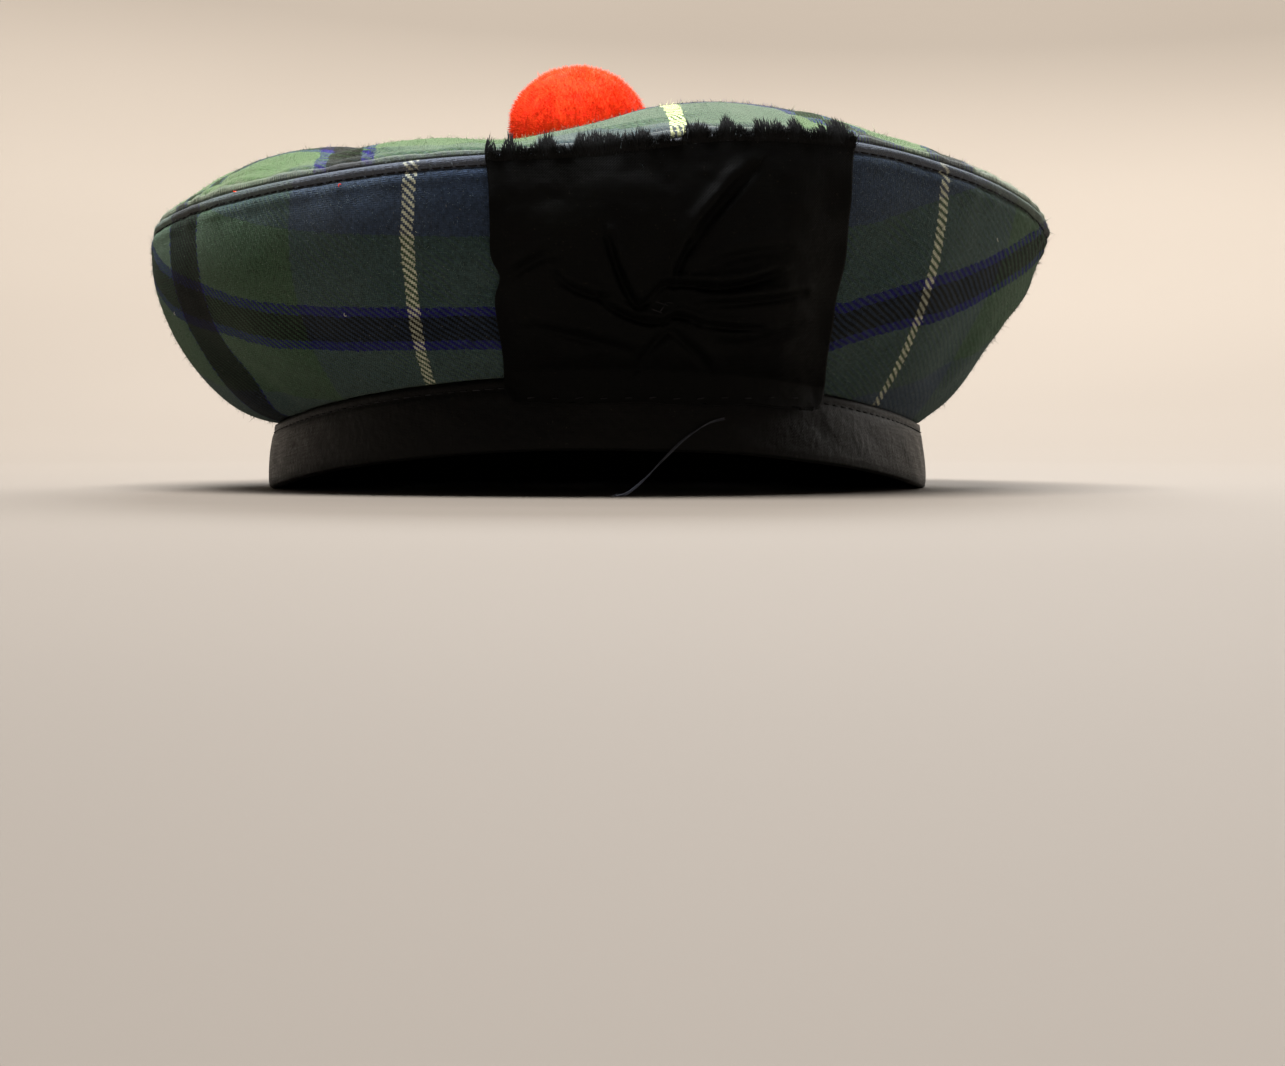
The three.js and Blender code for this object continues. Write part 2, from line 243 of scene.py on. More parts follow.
def read_round(rows: Sequence[Any], column: str, angles: Array) -> Array:
    """Reads a column of a table of angles by a smooth curve that closes on itself.

    Args:
        rows: The table, in order of angle.
        column: The column to read.
        angles: Angles in degrees, of any turn.

    Returns:
        The column's value at each angle.
    """
    at = np.array([row.angle for row in rows], float)
    value = np.array([getattr(row, column) for row in rows], float)
    at = np.concatenate([at[-2:] - 360, at, at[:3] + 360])
    value = np.concatenate([value[-2:], value, value[:3]])
    wanted = (np.asarray(angles, float) - at[2]) % 360 + at[2]
    i = np.searchsorted(at, wanted, side="right") - 1
    span = at[i + 1] - at[i]
    slope_from = (value[i + 1] - value[i - 1]) / (at[i + 1] - at[i - 1]) * span
    slope_to = (value[i + 2] - value[i]) / (at[i + 2] - at[i]) * span
    u = (wanted - at[i]) / span
    return (
        (2 * u**3 - 3 * u**2 + 1) * value[i] + (u**3 - 2 * u**2 + u) * slope_from
        + (3 * u**2 - 2 * u**3) * value[i + 1] + (u**3 - u**2) * slope_to
    )


def near_turn(angles: Array, other: float) -> Array:
    """How far each angle is from another one, the short way round."""
    return (np.asarray(angles, float) - other + 180) % 360 - 180


def bump(offset: Array, half: float) -> Array:
    """A swell that is 1 at its middle and falls smoothly to 0 at its half width."""
    return np.cos(np.clip(np.abs(offset) / half, 0, 1) * math.pi / 2) ** 2


def dimple(offset: Array, width: float) -> Array:
    """A bell curve of a width."""
    return np.exp(-((offset / width) ** 2))


def smooth(share: Array) -> Array:
    """An even start and stop between 0 and 1."""
    held = np.clip(share, 0, 1)
    return held * held * (3 - 2 * held)


def soft_noise(points: Array, size: float, seed: int) -> Array:
    """Smooth random swells in space, the same ones each time.

    Args:
        points: Places, with three numbers in the last axis.
        size: The swells' spacing.
        seed: Which field of swells.

    Returns:
        A height from about -1 to 1 at each place.
    """
    scaled = np.asarray(points, float) / size + 71.3 * (seed + 1)
    cell = np.floor(scaled).astype(np.int64)
    part = scaled - cell
    part = part * part * (3 - 2 * part)
    total = np.zeros(scaled.shape[:-1])
    for corner in range(8):
        step = np.array([corner & 1, corner >> 1 & 1, corner >> 2 & 1])
        key = (cell + step) @ np.array([73856093, 19349663, 83492791]) + seed * 2654435761
        key = (key ^ (key >> 13)) * 1274126177 & 0x7FFFFFFF
        key = (key ^ (key >> 11)) * 1103515245 & 0x7FFFFFFF
        share = np.where(step == 1, part, 1 - part).prod(axis=-1)
        total += share * ((key >> 7 & 0xFFFF) / 32767.5 - 1)
    return total


def swelling(fields: Sequence[Swells], points: Array) -> Array:
    """How far several fields of swells together stand out at places."""
    return sum(soft_noise(points, field.size, field.seed) * field.depth for field in fields)


def stacked(*numbers: Array | float) -> Array:
    """Places whose numbers are given one by one, along a last axis."""
    return np.stack(np.broadcast_arrays(*numbers), axis=-1)


def place(angles: Array, radius: Array, height: Array) -> Array:
    """Points from their angle, radius and height."""
    turn = np.radians(angles)
    return stacked(radius * np.sin(turn), -radius * np.cos(turn), height)


def unit(vectors: Array) -> Array:
    """Vectors of length 1."""
    return vectors / np.maximum(np.linalg.norm(vectors, axis=-1, keepdims=True), 1e-9)


def leaning(points: Array, out: float, up: float) -> Array:
    """A direction at each point.

    Args:
        points: The points.
        out: How far it goes away from the hat's middle line.
        up: How far it goes up.

    Returns:
        The directions.
    """
    level = unit(points[..., :2]) * out
    return np.concatenate([level, np.full(points.shape[:-1] + (1,), float(up))], axis=-1)


def read_line(at: Array, run: Array, line: Array) -> Array:
    """Places along a line, at distances from its start."""
    return np.stack([np.interp(at, run, line[:, k]) for k in range(3)], axis=-1)


def ring_quads(number: Array) -> Array:
    """The faces round a ring, from its points' numbers in columns by rows."""
    after = np.roll(number, -1, axis=0)
    return np.stack([number[:, :-1], number[:, 1:], after[:, 1:], after[:, :-1]], axis=-1).reshape(-1, 4)


def lattice_normals(points: Array, closed: bool) -> Array:
    """The normals of a lattice of points.

    Args:
        points: The lattice, columns by rows by 3.
        closed: True if the last column meets the first.

    Returns:
        A unit normal at each point, along the cross product of its two directions.
    """
    if closed:
        across = np.roll(points, -1, axis=0) - np.roll(points, 1, axis=0)
    else:
        across = np.gradient(points, axis=0)
    return unit(np.cross(across, np.gradient(points, axis=1)))


def outward_normals(points: Array, guide: Array) -> Array:
    """The normals of a closed lattice, on the side that a guide shows on the whole."""
    normals = lattice_normals(points, True)
    return normals * np.sign((normals * guide).sum(-1).mean())


# ---------------------------------------------------------------------------------------------
# Meshes


@dataclass
class Surface:
    """Points and faces on their way to becoming one mesh.

    The cloth coordinates say where on its flat cloth each face corner was cut, in millimetres. A
    third one, if there is one, is the distance from the crown's seam.
    """

    points: Array
    faces: list[Array]
    cloth: list[Array]

    @staticmethod
    def joined(parts: Sequence["Surface"]) -> "Surface":
        """Several surfaces as one.

        Args:
            parts: The surfaces.

        Returns:
            One surface with all their points and faces.
        """
        starts = np.cumsum([0] + [len(part.points) for part in parts])
        faces = [face + start for part, start in zip(parts, starts) for face in part.faces]
        cloth = [each for part in parts for each in part.cloth]
        return Surface(np.concatenate([part.points for part in parts]), faces, cloth)

    def made(self, name: str, material: Material, slot: Slot) -> bpy.types.Object:
        """Makes the mesh, in metres, and lets it ride with the hat.

        Args:
            name: The piece's name.
            material: Its finish.
            slot: The record's slot that the finish belongs to. Not used.

        Returns:
            The new object.
        """
        corners = np.concatenate([face.ravel() for face in self.faces]).astype(np.int32)
        sizes = np.concatenate([np.full(len(face), face.shape[1]) for face in self.faces])
        starts = np.concatenate([[0], np.cumsum(sizes)[:-1]]).astype(np.int32)
        mesh = bpy.data.meshes.new(name)
        mesh.vertices.add(len(self.points))
        mesh.vertices.foreach_set("co", (self.points * MM).astype(np.float32).ravel())
        mesh.loops.add(len(corners))
        mesh.polygons.add(len(sizes))
        mesh.polygons.foreach_set("loop_start", starts)
        mesh.polygons.foreach_set("vertices", corners)
        flat = np.concatenate([each.reshape(-1, each.shape[-1]) for each in self.cloth])
        uv = mesh.uv_layers.new(name=CLOTH_MAP)
        uv.data.foreach_set("uv", (flat[:, :2] * MM).astype(np.float32).ravel())
        if flat.shape[1] > 2:
            beside = stacked(flat[:, 2], 0)
            uv = mesh.uv_layers.new(name=SEAM_MAP)
            uv.data.foreach_set("uv", (beside * MM).astype(np.float32).ravel())
        mesh.update(calc_edges=True)
        mesh.shade_smooth()
        mesh.materials.append(material)
        piece = bpy.data.objects.new(name, mesh)
        bpy.context.scene.collection.objects.link(piece)
        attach(piece, BODY)
        LOG.info("%s: %d points, %d faces", name, len(self.points), len(sizes))
        return piece


def ring_surface(points: Array, cloth: Array) -> Surface:
    """A closed ring lofted through a loop of points at each angle.

    Args:
        points: Columns by loop by 3. The last column meets the first.
        cloth: Cloth coordinates, with one more column than the points.

    Returns:
        The closed surface.
    """
    columns, loop = points.shape[:2]
    i, j = (each.ravel() for each in np.mgrid[0:columns, 0:loop])
    i_next, j_next = i + 1, (j + 1) % loop
    corners = [(i, j), (i_next, j), (i_next, j_next), (i, j_next)]
    faces = np.stack([(a % columns) * loop + b for a, b in corners], axis=1)
    flat = np.stack([cloth[a, b] for a, b in corners], axis=1)
    return Surface(points.reshape(-1, 3), [faces], [flat])


def dish_surface(upper: Array, lower: Array, upper_centre: Array, lower_centre: Array) -> Surface:
    """A closed dish whose two faces each end in one point. Its cloth lies flat over X and Y.

    Args:
        upper: Columns by rows by 3, from the rim to beside the centre.
        lower: The same for the inner face.
        upper_centre: The point in the middle of the upper face.
        lower_centre: The point in the middle of the lower face.

    Returns:
        The closed surface.
    """
    walls = np.concatenate([upper, lower[:, ::-1]], axis=1)
    columns, loop = walls.shape[:2]
    rows = upper.shape[1]
    i, j = (each.ravel() for each in np.mgrid[0:columns, 0:loop])
    keep = j != rows - 1
    i, j = i[keep], j[keep]
    i_next, j_next = (i + 1) % columns, (j + 1) % loop
    faces = np.stack([i * loop + j, i_next * loop + j, i_next * loop + j_next, i * loop + j_next], axis=1)
    points = np.concatenate([walls.reshape(-1, 3), upper_centre[None], lower_centre[None]])
    top, bottom = len(points) - 2, len(points) - 1
    here = np.arange(columns) * loop
    after = np.roll(here, -1)
    fans = np.concatenate([
        np.stack([here + rows - 1, after + rows - 1, np.full(columns, top)], axis=1),
        np.stack([np.full(columns, bottom), after + rows, here + rows], axis=1),
    ])
    flat = points[:, :2]
    return Surface(points, [faces, fans], [flat[faces], flat[fans]])


def sheet_surface(front: Array, back: Array, cloth: Array) -> Surface:
    """A thin closed sheet with a front, a back and a rim.

    Args:
        front: Columns by rows by 3.
        back: The same places on the other face.
        cloth: Cloth coordinates, columns by rows by 2.

    Returns:
        The closed surface.
    """
    columns, rows = front.shape[:2]
    number = np.arange(columns * rows).reshape(columns, rows)
    quads = np.stack([number[:-1, :-1], number[1:, :-1], number[1:, 1:], number[:-1, 1:]], axis=-1)
    quads = quads.reshape(-1, 4)
    rim = np.concatenate([number[:-1, 0], number[-1, :-1], number[:0:-1, -1], number[0, :0:-1]])
    onward = np.roll(rim, -1)
    shift = columns * rows
    band = np.stack([onward, rim, rim + shift, onward + shift], axis=1)
    faces = np.concatenate([quads, quads[:, ::-1] + shift, band])
    flat = np.concatenate([cloth.reshape(-1, 2)] * 2)
    points = np.concatenate([front.reshape(-1, 3), back.reshape(-1, 3)])
    return Surface(points, [faces], [flat[faces]])


def strand_surface(paths: Array, radii: Array, cloth: Array, sides: int = 3) -> Surface:
    """Closed strands that each end in a point.

    Args:
        paths: Strands by points by 3, from root to tip.
        radii: The radius at each point but the tip, for all strands or for each.
        cloth: Cloth coordinates of each strand, strands by 2.
        sides: How many sides a strand has.

    Returns:
        All the strands as one surface.
    """
    count, length = paths.shape[:2]
    along = unit(np.gradient(paths, axis=1))
    helper = np.where(np.abs(along[..., 2:]) < 0.8, [[0.0, 0.0, 1.0]], [[1.0, 0.0, 0.0]])
    one = unit(np.cross(along, helper))
    two = np.cross(along, one)
    turn = 2 * math.pi * np.arange(sides) / sides
    ring = one[..., None, :] * np.cos(turn)[:, None] + two[..., None, :] * np.sin(turn)[:, None]
    thick = np.broadcast_to(radii, (count, length - 1))[..., None, None]
    body = paths[:, :-1, None] + ring[:, :-1] * thick
    points = np.concatenate([body.reshape(count, -1, 3), paths[:, -1:]], axis=1)
    each = points.shape[1]
    quads = [
        (k * sides + s, k * sides + (s + 1) % sides, (k + 1) * sides + (s + 1) % sides, (k + 1) * sides + s)
        for k in range(length - 2) for s in range(sides)
    ]
    last = (length - 2) * sides
    tips = [(last + s, last + (s + 1) % sides, each - 1) for s in range(sides)]
    start = (np.arange(count) * each)[:, None, None]
    faces = [(start + np.array(quads)).reshape(-1, 4)] if quads else []
    faces.append((start + np.array(tips)).reshape(-1, 3))
    faces.append((np.arange(count) * each)[:, None] + np.arange(sides)[::-1])
    owners = [np.repeat(np.arange(count), len(face) // count) for face in faces]
    flats = [np.repeat(cloth[owner][:, None], face.shape[1], axis=1) for owner, face in zip(owners, faces)]
    return Surface(points.reshape(-1, 3), faces, flats)


# ---------------------------------------------------------------------------------------------
# Node graphs


def colour(red: int, green: int, blue: int) -> tuple[float, float, float, float]:
    """Turns a display colour into the linear colour that a shader takes.

    Args:
        red: Its red, from 0 to 255.
        green: Its green.
        blue: Its blue.

    Returns:
        The linear colour, opaque.
    """
    shares = [each / 255 for each in (red, green, blue)]
    linear = [each / 12.92 if each <= 0.04045 else ((each + 0.055) / 1.055) ** 2.4 for each in shares]
    return (*linear, 1.0)


class Graph:
    """A node tree being built, with short calls for its commonest nodes."""

    def __init__(self, tree: NodeTree) -> None:
        """Starts on a tree."""
        self.tree = tree

    def feed(self, socket: NodeSocket, value: Any) -> None:
        """Links a socket to another, or sets its value.

        Args:
            socket: The socket that is fed.
            value: Another socket, or a value.
        """
        if isinstance(value, NodeSocket):
            self.tree.links.new(value, socket)
        else:
            socket.default_value = value

    def add(self, kind: str, inputs: dict[Any, Any] | None = None, **settings: Any) -> bpy.types.Node:
        """Adds a node.

        Args:
            kind: The node's type.
            inputs: What feeds each of its inputs, by name or number.
            settings: Its other properties.

        Returns:
            The node.
        """
        node = self.tree.nodes.new(kind)
        for name, value in settings.items():
            setattr(node, name, value)
        for name, value in (inputs or {}).items():
            self.feed(node.inputs[name], value)
        return node

    def math(self, operation: str, *values: Any) -> NodeSocket:
        """The result of a sum."""
        return self.add("ShaderNodeMath", dict(enumerate(values)), operation=operation).outputs[0]

    def scaled(self, vector: Any, by: Sequence[float]) -> NodeSocket:
        """A vector times another."""
        node = self.add("ShaderNodeVectorMath", {0: vector, 1: tuple(by)}, operation="MULTIPLY")
        return node.outputs[0]

    def mix(self, share: Any, first: Any, second: Any, blend: str = "MIX") -> NodeSocket:
        """A colour between two."""
        inputs = {0: share, 6: first, 7: second}
        return self.add("ShaderNodeMix", inputs, data_type="RGBA", blend_type=blend).outputs[2]

    def between(self, share: Any, first: Any, second: Any) -> NodeSocket:
        """A number between two."""
        return self.add("ShaderNodeMix", {0: share, 2: first, 3: second}, data_type="FLOAT").outputs[0]

    def noise(
        self, vector: Any, scale: float, detail: float = 2.0, rough: float = 0.5
    ) -> NodeSocket:
        """Noise from 0 to 1."""
        inputs = {"Vector": vector, "Scale": scale, "Detail": detail, "Roughness": rough}
        return self.add("ShaderNodeTexNoise", inputs).outputs[0]

    def limits(self, value: Any, low: float, high: float, to_low: float = 0.0, to_high: float = 1.0) -> Any:
        """A value mapped from one range to another, and held there."""
        inputs = {0: value, 1: low, 2: high, 3: to_low, 4: to_high}
        return self.add("ShaderNodeMapRange", inputs, clamp=True).outputs[0]

    def strayed(self, vector: Any, scale: float, detail: float, by: float) -> NodeSocket:
        """Moves places about on their flat cloth by noise.

        Args:
            vector: The places.
            scale: The noise's scale.
            detail: Its detail.
            by: How far the lowest and the highest noise move them apart.

        Returns:
            The moved places.
        """
        noise = self.add("ShaderNodeTexNoise", {"Vector": vector, "Scale": scale, "Detail": detail})
        centred = {0: noise.outputs[1], 1: (0.5,) * 3}
        offset = self.add("ShaderNodeVectorMath", centred, operation="SUBTRACT").outputs[0]
        moved = {0: self.scaled(offset, (by, by, 0)), 1: vector}
        return self.add("ShaderNodeVectorMath", moved, operation="ADD").outputs[0]

    def rounded(self, yarns: Any) -> NodeSocket:
        """The round back of each yarn, 0 at its edges and 1 along its middle."""
        return self.math("SINE", self.math("MULTIPLY", self.math("FRACT", yarns), math.pi))

    def parts(self, vector: Any) -> tuple[NodeSocket, NodeSocket]:
        """A vector's first two numbers."""
        outputs = self.add("ShaderNodeSeparateXYZ", {0: vector}).outputs
        return outputs[0], outputs[1]

    def cloth(self) -> NodeSocket:
        """Where on its flat cloth a point was cut, in millimetres."""
        flat = self.add("ShaderNodeUVMap", uv_map=CLOTH_MAP).outputs[0]
        return self.scaled(flat, (1 / MM, 1 / MM, 0))

    def space(self) -> NodeSocket:
        """Where a point is on the hat, in millimetres."""
        return self.scaled(self.add("ShaderNodeTexCoord").outputs["Object"], (1 / MM,) * 3)

    def group(self, effect: "Effect", inputs: dict[str, Any]) -> bpy.types.Node:
        """Places a shared effect, with its own values."""
        return self.add("ShaderNodeGroup", inputs, node_tree=effect.tree())


class Effect(Enum):
    """The effects that more than one material or group uses, each built once."""

    SETT = "tartan_sett"
    TWILL = "twill_weave"
    NAP = "wool_nap"
    PLAIN_WEAVE = "plain_weave"
    HANDLING = "handling_marks"

    def tree(self) -> NodeTree:
        """The effect's node group, made the first time it is asked for."""
        found = bpy.data.node_groups.get(self.value)
        return found if found else EFFECT_MAKERS[self]()


class Socket(NamedTuple):
    """A named socket of a node group."""

    name: str
    kind: str
    start: Any = None


FLOAT, VECTOR, COLOUR = "NodeSocketFloat", "NodeSocketVector", "NodeSocketColor"


def new_group(
    effect: Effect, inputs: Sequence[Socket], outputs: Sequence[Socket]
) -> tuple[Graph, Any, Any]:
    """Starts a node group.

    Args:
        effect: The effect that it makes.
        inputs: Its inputs, with their first values.
        outputs: Its outputs.

    Returns:
        The graph, the sockets that its inputs arrive at and those that its outputs leave by.
    """
    tree = bpy.data.node_groups.new(effect.value, "ShaderNodeTree")
    for direction, sockets in (("INPUT", inputs), ("OUTPUT", outputs)):
        for each in sockets:
            socket = tree.interface.new_socket(each.name, in_out=direction, socket_type=each.kind)
            if each.start is not None:
                socket.default_value = each.start
    graph = Graph(tree)
    return graph, graph.add("NodeGroupInput").outputs, graph.add("NodeGroupOutput").inputs


@dataclass(frozen=True)
class CheckShades:
    """The shades of the check's yarns."""

    dark: tuple = colour(15, 16, 18)
    edge: tuple = colour(36, 31, 104)
    green: tuple = colour(58, 82, 62)
    blue: tuple = colour(54, 66, 87)
    white: tuple = colour(208, 210, 188)


def make_sett() -> NodeTree:
    """A yarn's colour from its place in the repeat: dark, edge, green, blue and a white line.

    Returns:
        The node group.
    """
    shades = CheckShades()
    graph, given, out = new_group(
        Effect.SETT,
        [
            Socket("Place", FLOAT, 0.0), Socket("Start", FLOAT, 0.0), Socket("Thread", FLOAT, 0.5),
            Socket("Dark To", FLOAT, 4.2), Socket("Edge To", FLOAT, 7.2), Socket("Green To", FLOAT, 43.0),
            Socket("Blue To", FLOAT, 72.2), Socket("White To", FLOAT, 74.0),
        ],
        [Socket("Colour", COLOUR), Socket("Bold", FLOAT), Socket("Dark", FLOAT)],
    )
    yarn = graph.math("SNAP", graph.math("SUBTRACT", given["Place"], given["Start"]), given["Thread"])
    middle = graph.math("MULTIPLY_ADD", given["Thread"], 0.5, yarn)
    folded = graph.math("PINGPONG", middle, given["White To"])
    shade = shades.white
    stripes = {
        "Blue To": shades.blue, "Green To": shades.green, "Edge To": shades.edge, "Dark To": shades.dark,
    }
    for reach, yarn_shade in stripes.items():
        shade = graph.mix(graph.math("LESS_THAN", folded, given[reach]), shade, yarn_shade)
    graph.feed(out["Colour"], shade)
    in_edge = graph.math("LESS_THAN", folded, given["Edge To"])
    in_white = graph.math("GREATER_THAN", folded, given["Blue To"])
    graph.feed(out["Bold"], graph.math("ADD", in_edge, in_white))
    graph.feed(out["Dark"], graph.math("LESS_THAN", folded, given["Dark To"]))
    return graph.tree


def lay_yarns(graph: Graph, given: Any, repeat: float) -> tuple[Any, Any, Any]:
    """Lays a weave's two sets of yarns across each other.

    Args:
        graph: The weave's graph.
        given: The sockets that the places and the yarns' width arrive at.
        repeat: How many yarns the weave repeats after.

    Returns:
        Each crossing's place in the repeat, and the backs of the yarns across and upward.
    """
    x, y = graph.parts(given["Cloth"])
    across = graph.math("DIVIDE", x, given["Thread"])
    upward = graph.math("DIVIDE", y, given["Thread"])
    step = graph.math("ADD", graph.math("FLOOR", across), graph.math("FLOOR", upward))
    return graph.math("FLOORED_MODULO", step, repeat), graph.rounded(across), graph.rounded(upward)


def make_twill() -> NodeTree:
    """A two-and-two twill: which yarn is on top, and how the yarns' backs rise.

    Returns:
        The node group.
    """
    graph, given, out = new_group(
        Effect.TWILL,
        [Socket("Cloth", VECTOR), Socket("Thread", FLOAT, 0.5)],
        [Socket("Warp Up", FLOAT), Socket("Relief", FLOAT)],
    )
    crossing, across_back, upward_back = lay_yarns(graph, given, 4.0)
    warp_up = graph.math("LESS_THAN", crossing, 1.5)
    graph.feed(out["Warp Up"], warp_up)
    graph.feed(out["Relief"], graph.between(warp_up, upward_back, across_back))
    return graph.tree


def make_nap() -> NodeTree:
    """Fulled wool: matted fibres that veil the weave, and streaks along the yarns.

    Returns:
        The node group.
    """
    graph, given, out = new_group(
        Effect.NAP,
        [Socket("Cloth", VECTOR), Socket("Space", VECTOR)],
        [Socket("Veil", FLOAT), Socket("Melange", FLOAT), Socket("Height", FLOAT)],
    )
    veil = graph.noise(given["Space"], 0.12, 3.0, 0.6)
    grain = graph.noise(given["Space"], 1.1, 4.0, 0.75)
    along_weft = graph.noise(graph.scaled(given["Cloth"], (0.6, 2.0, 1.0)), 1.0, 3.0, 0.7)
    along_warp = graph.noise(graph.scaled(given["Cloth"], (1.1, 0.4, 1.0)), 1.0, 2.0, 0.6)
    fibres = graph.noise(given["Space"], 1.3, 4.0, 0.7)
    graph.feed(out["Veil"], graph.limits(veil, 0.3, 0.7))
    graph.feed(out["Melange"], graph.between(0.55, graph.between(0.5, along_weft, along_warp), grain))
    graph.feed(out["Height"], fibres)
    return graph.tree


def make_plain_weave() -> NodeTree:
    """Fine plain-woven threads, as in a ribbon: their relief and their slubs.

    Returns:
        The node group.
    """
    graph, given, out = new_group(
        Effect.PLAIN_WEAVE,
        [Socket("Cloth", VECTOR), Socket("Thread", FLOAT, 0.3)],
        [Socket("Relief", FLOAT), Socket("Slub", FLOAT)],
    )
    warp_up, across_back, upward_back = lay_yarns(graph, given, 2.0)
    graph.feed(out["Relief"], graph.between(warp_up, upward_back, across_back))
    streak = graph.noise(graph.scaled(given["Cloth"], (0.12, 2.2, 1.0)), 1.0, 2.0)
    graph.feed(out["Slub"], graph.limits(streak, 0.35, 0.65))
    return graph.tree


def make_handling() -> NodeTree:
    """Where handling and age have left cloth a little paler, and where dust has settled.

    Returns:
        The node group.
    """
    graph, given, out = new_group(
        Effect.HANDLING,
        [Socket("Space", VECTOR), Socket("Reach", FLOAT, 0.5)],
        [Socket("Worn", FLOAT), Socket("Dust", FLOAT)],
    )
    broad = graph.noise(given["Space"], 0.035, 4.0, 0.6)
    worn = graph.limits(broad, 0.4, 0.75)
    specks = graph.limits(graph.noise(given["Space"], 1.7, 1.0), 0.72, 0.8)
    graph.feed(out["Worn"], graph.math("MULTIPLY", worn, given["Reach"]))
    graph.feed(out["Dust"], graph.math("MULTIPLY", specks, given["Reach"]))
    return graph.tree


EFFECT_MAKERS = {
    Effect.SETT: make_sett,
    Effect.TWILL: make_twill,
    Effect.NAP: make_nap,
    Effect.PLAIN_WEAVE: make_plain_weave,
    Effect.HANDLING: make_handling,
}


# ---------------------------------------------------------------------------------------------
# Finishes


def new_material(name: str, shader: dict[str, Any]) -> tuple[Material, Graph, Any]:
    """Starts a material with its Principled shader.

    Args:
        name: The material's name.
        shader: What the shader's sockets are set to where they don't change over the surface.

    Returns:
        The material, its graph and the shader's inputs.
    """
    material = bpy.data.materials.new(name)
    material.use_nodes = True
    material.node_tree.nodes.clear()
    graph = Graph(material.node_tree)
    principled = graph.add("ShaderNodeBsdfPrincipled", shader)
    graph.add("ShaderNodeOutputMaterial", {"Surface": principled.outputs[0]})
    return material, graph, principled.inputs


class Stripes(NamedTuple):
    """How far each stripe of the check reaches from the middle of the dark one."""

    dark: float
    edge: float
    green: float
    blue: float
    white: float

    def sockets(self, place_at: Any, start: float, thread: float) -> dict[str, Any]:
        """What the check's node group is given for one set of yarns."""
        reach = dict(zip(("Dark To", "Edge To", "Green To", "Blue To", "White To"), self))
        return {"Place": place_at, "Start": start, "Thread": thread, **reach}


@dataclass(frozen=True)
class TartanWool:
    """Napped twill wool in the check, cut with its dark stripes at given places."""

    name: str
    warp_start: float
    weft_start: float
    warp: Stripes = Stripes(4.2, 7.2, 43.0, 72.2, 74.0)
    weft: Stripes = Stripes(4.2, 7.2, 39.0, 72.2, 74.0)
    thread: float = 0.5
    veil: float = 0.8
    bold_clear: float = 0.88
    warp_pull: float = 0.64
    weft_pull: float = 0.36
    drift: float = 1.1
    fray: float = 1.8
    # The tint multiplies the woven colour; the top piece's tint also paints it lighter, as painted light
    # from above.
    tint_and_painted_light: tuple = (1.0, 1.0, 1.0, 1.0)
    sheen_tint: tuple = colour(214, 232, 214)
    # The lift scales the cloth's brightness: below 1 it paints shade on a piece, above 1 it paints light.
    lift: float = 1.0
    sheen: float = 0.22
    # The strip beside the seam is lightened towards grey, partly as wear and partly as a painted highlight
    # of light from above.
    seam_wear_and_highlight: float = 0.42
    seam_wear_and_highlight_to: tuple = (2.4, 3.4)
    yarn_height: float = 0.14
    nap_height: float = 0.6

    def material(self) -> Material:
        """The finish as a material.

        Returns:
            The material.
        """
        shader = {
            "Roughness": 0.95, "Sheen Roughness": 0.45,
            "Sheen Tint": self.sheen_tint, "Specular IOR Level": 0.08,
        }
        material, graph, inputs = new_material(self.name, shader)
        space = graph.space()
        cloth = graph.strayed(graph.cloth(), 0.09, 2.0, self.drift)
        frayed = graph.strayed(cloth, 0.9, 3.0, self.fray)
        x, y = graph.parts(frayed)
        warp = graph.group(Effect.SETT, self.warp.sockets(x, self.warp_start, self.thread))
        weft = graph.group(Effect.SETT, self.weft.sockets(y, self.weft_start, self.thread))
        twill = graph.group(Effect.TWILL, {"Cloth": cloth, "Thread": self.thread})
        nap = graph.group(Effect.NAP, {"Cloth": cloth, "Space": space})
        veiled = graph.limits(nap.outputs["Veil"], 0.0, 1.0, self.veil * 0.55, self.veil * 1.35)
        bold = graph.math("MAXIMUM", warp.outputs["Bold"], weft.outputs["Bold"])
        veiled = graph.math("MULTIPLY", veiled, graph.math("MULTIPLY_ADD", bold, -self.bold_clear, 1.0))
        bloom = graph.math("MULTIPLY_ADD", graph.math("MINIMUM", bold, 1.0), -0.8 * self.sheen, self.sheen)
        graph.feed(inputs["Sheen Weight"], bloom)
        over = graph.between(veiled, twill.outputs["Warp Up"], 0.5)
        woven = graph.mix(over, weft.outputs[0], warp.outputs[0])
        pull = graph.math(
            "MAXIMUM", graph.math("MULTIPLY", warp.outputs["Dark"], self.warp_pull),
            graph.math("MULTIPLY", weft.outputs["Dark"], self.weft_pull),
        )
        woven = graph.mix(pull, woven, CheckShades().dark)
        # The tint and the lift paint the cloth lighter or darker: painted light on the top piece and the
        # fuzz, painted shade on the side piece.
        woven = graph.mix(1.0, woven, self.tint_and_painted_light, "MULTIPLY")
        melange = graph.limits(nap.outputs["Melange"], 0.36, 0.64, 0.46 * self.lift, 1.58 * self.lift)
        toned = graph.add(
            "ShaderNodeHueSaturation",
            {"Color": woven, "Value": melange, "Saturation": 1.05},
        ).outputs[0]
        marks = graph.group(Effect.HANDLING, {"Space": space, "Reach": 0.5})
        marked_colour = graph.mix(graph.math("MULTIPLY", marks.outputs["Worn"], 0.22), toned, colour(118, 122, 112))
        # Wear and painted highlight: the strip next to the seam is lightened towards a grey.
        from_seam = graph.add("ShaderNodeUVMap", uv_map=SEAM_MAP).outputs[0]
        away = graph.parts(graph.scaled(from_seam, (1 / MM,) * 3))[0]
        wear_and_highlight_mask = graph.math("MULTIPLY", graph.limits(away, *self.seam_wear_and_highlight_to, 1.0, 0.0), self.seam_wear_and_highlight)
        marked_colour = graph.mix(wear_and_highlight_mask, marked_colour, colour(112, 112, 116))
        dusted = graph.mix(graph.math("MULTIPLY", marks.outputs["Dust"], 0.5), marked_colour, colour(176, 172, 160))
        graph.feed(inputs["Base Color"], dusted)
        rise = graph.math("MULTIPLY", twill.outputs["Relief"], self.yarn_height)
        height = graph.math("MULTIPLY_ADD", nap.outputs["Height"], self.nap_height, rise)
        relief = graph.add("ShaderNodeBump", {"Strength": 0.75, "Distance": MM, "Height": height})
        graph.feed(inputs["Normal"], relief.outputs[0])
        return material


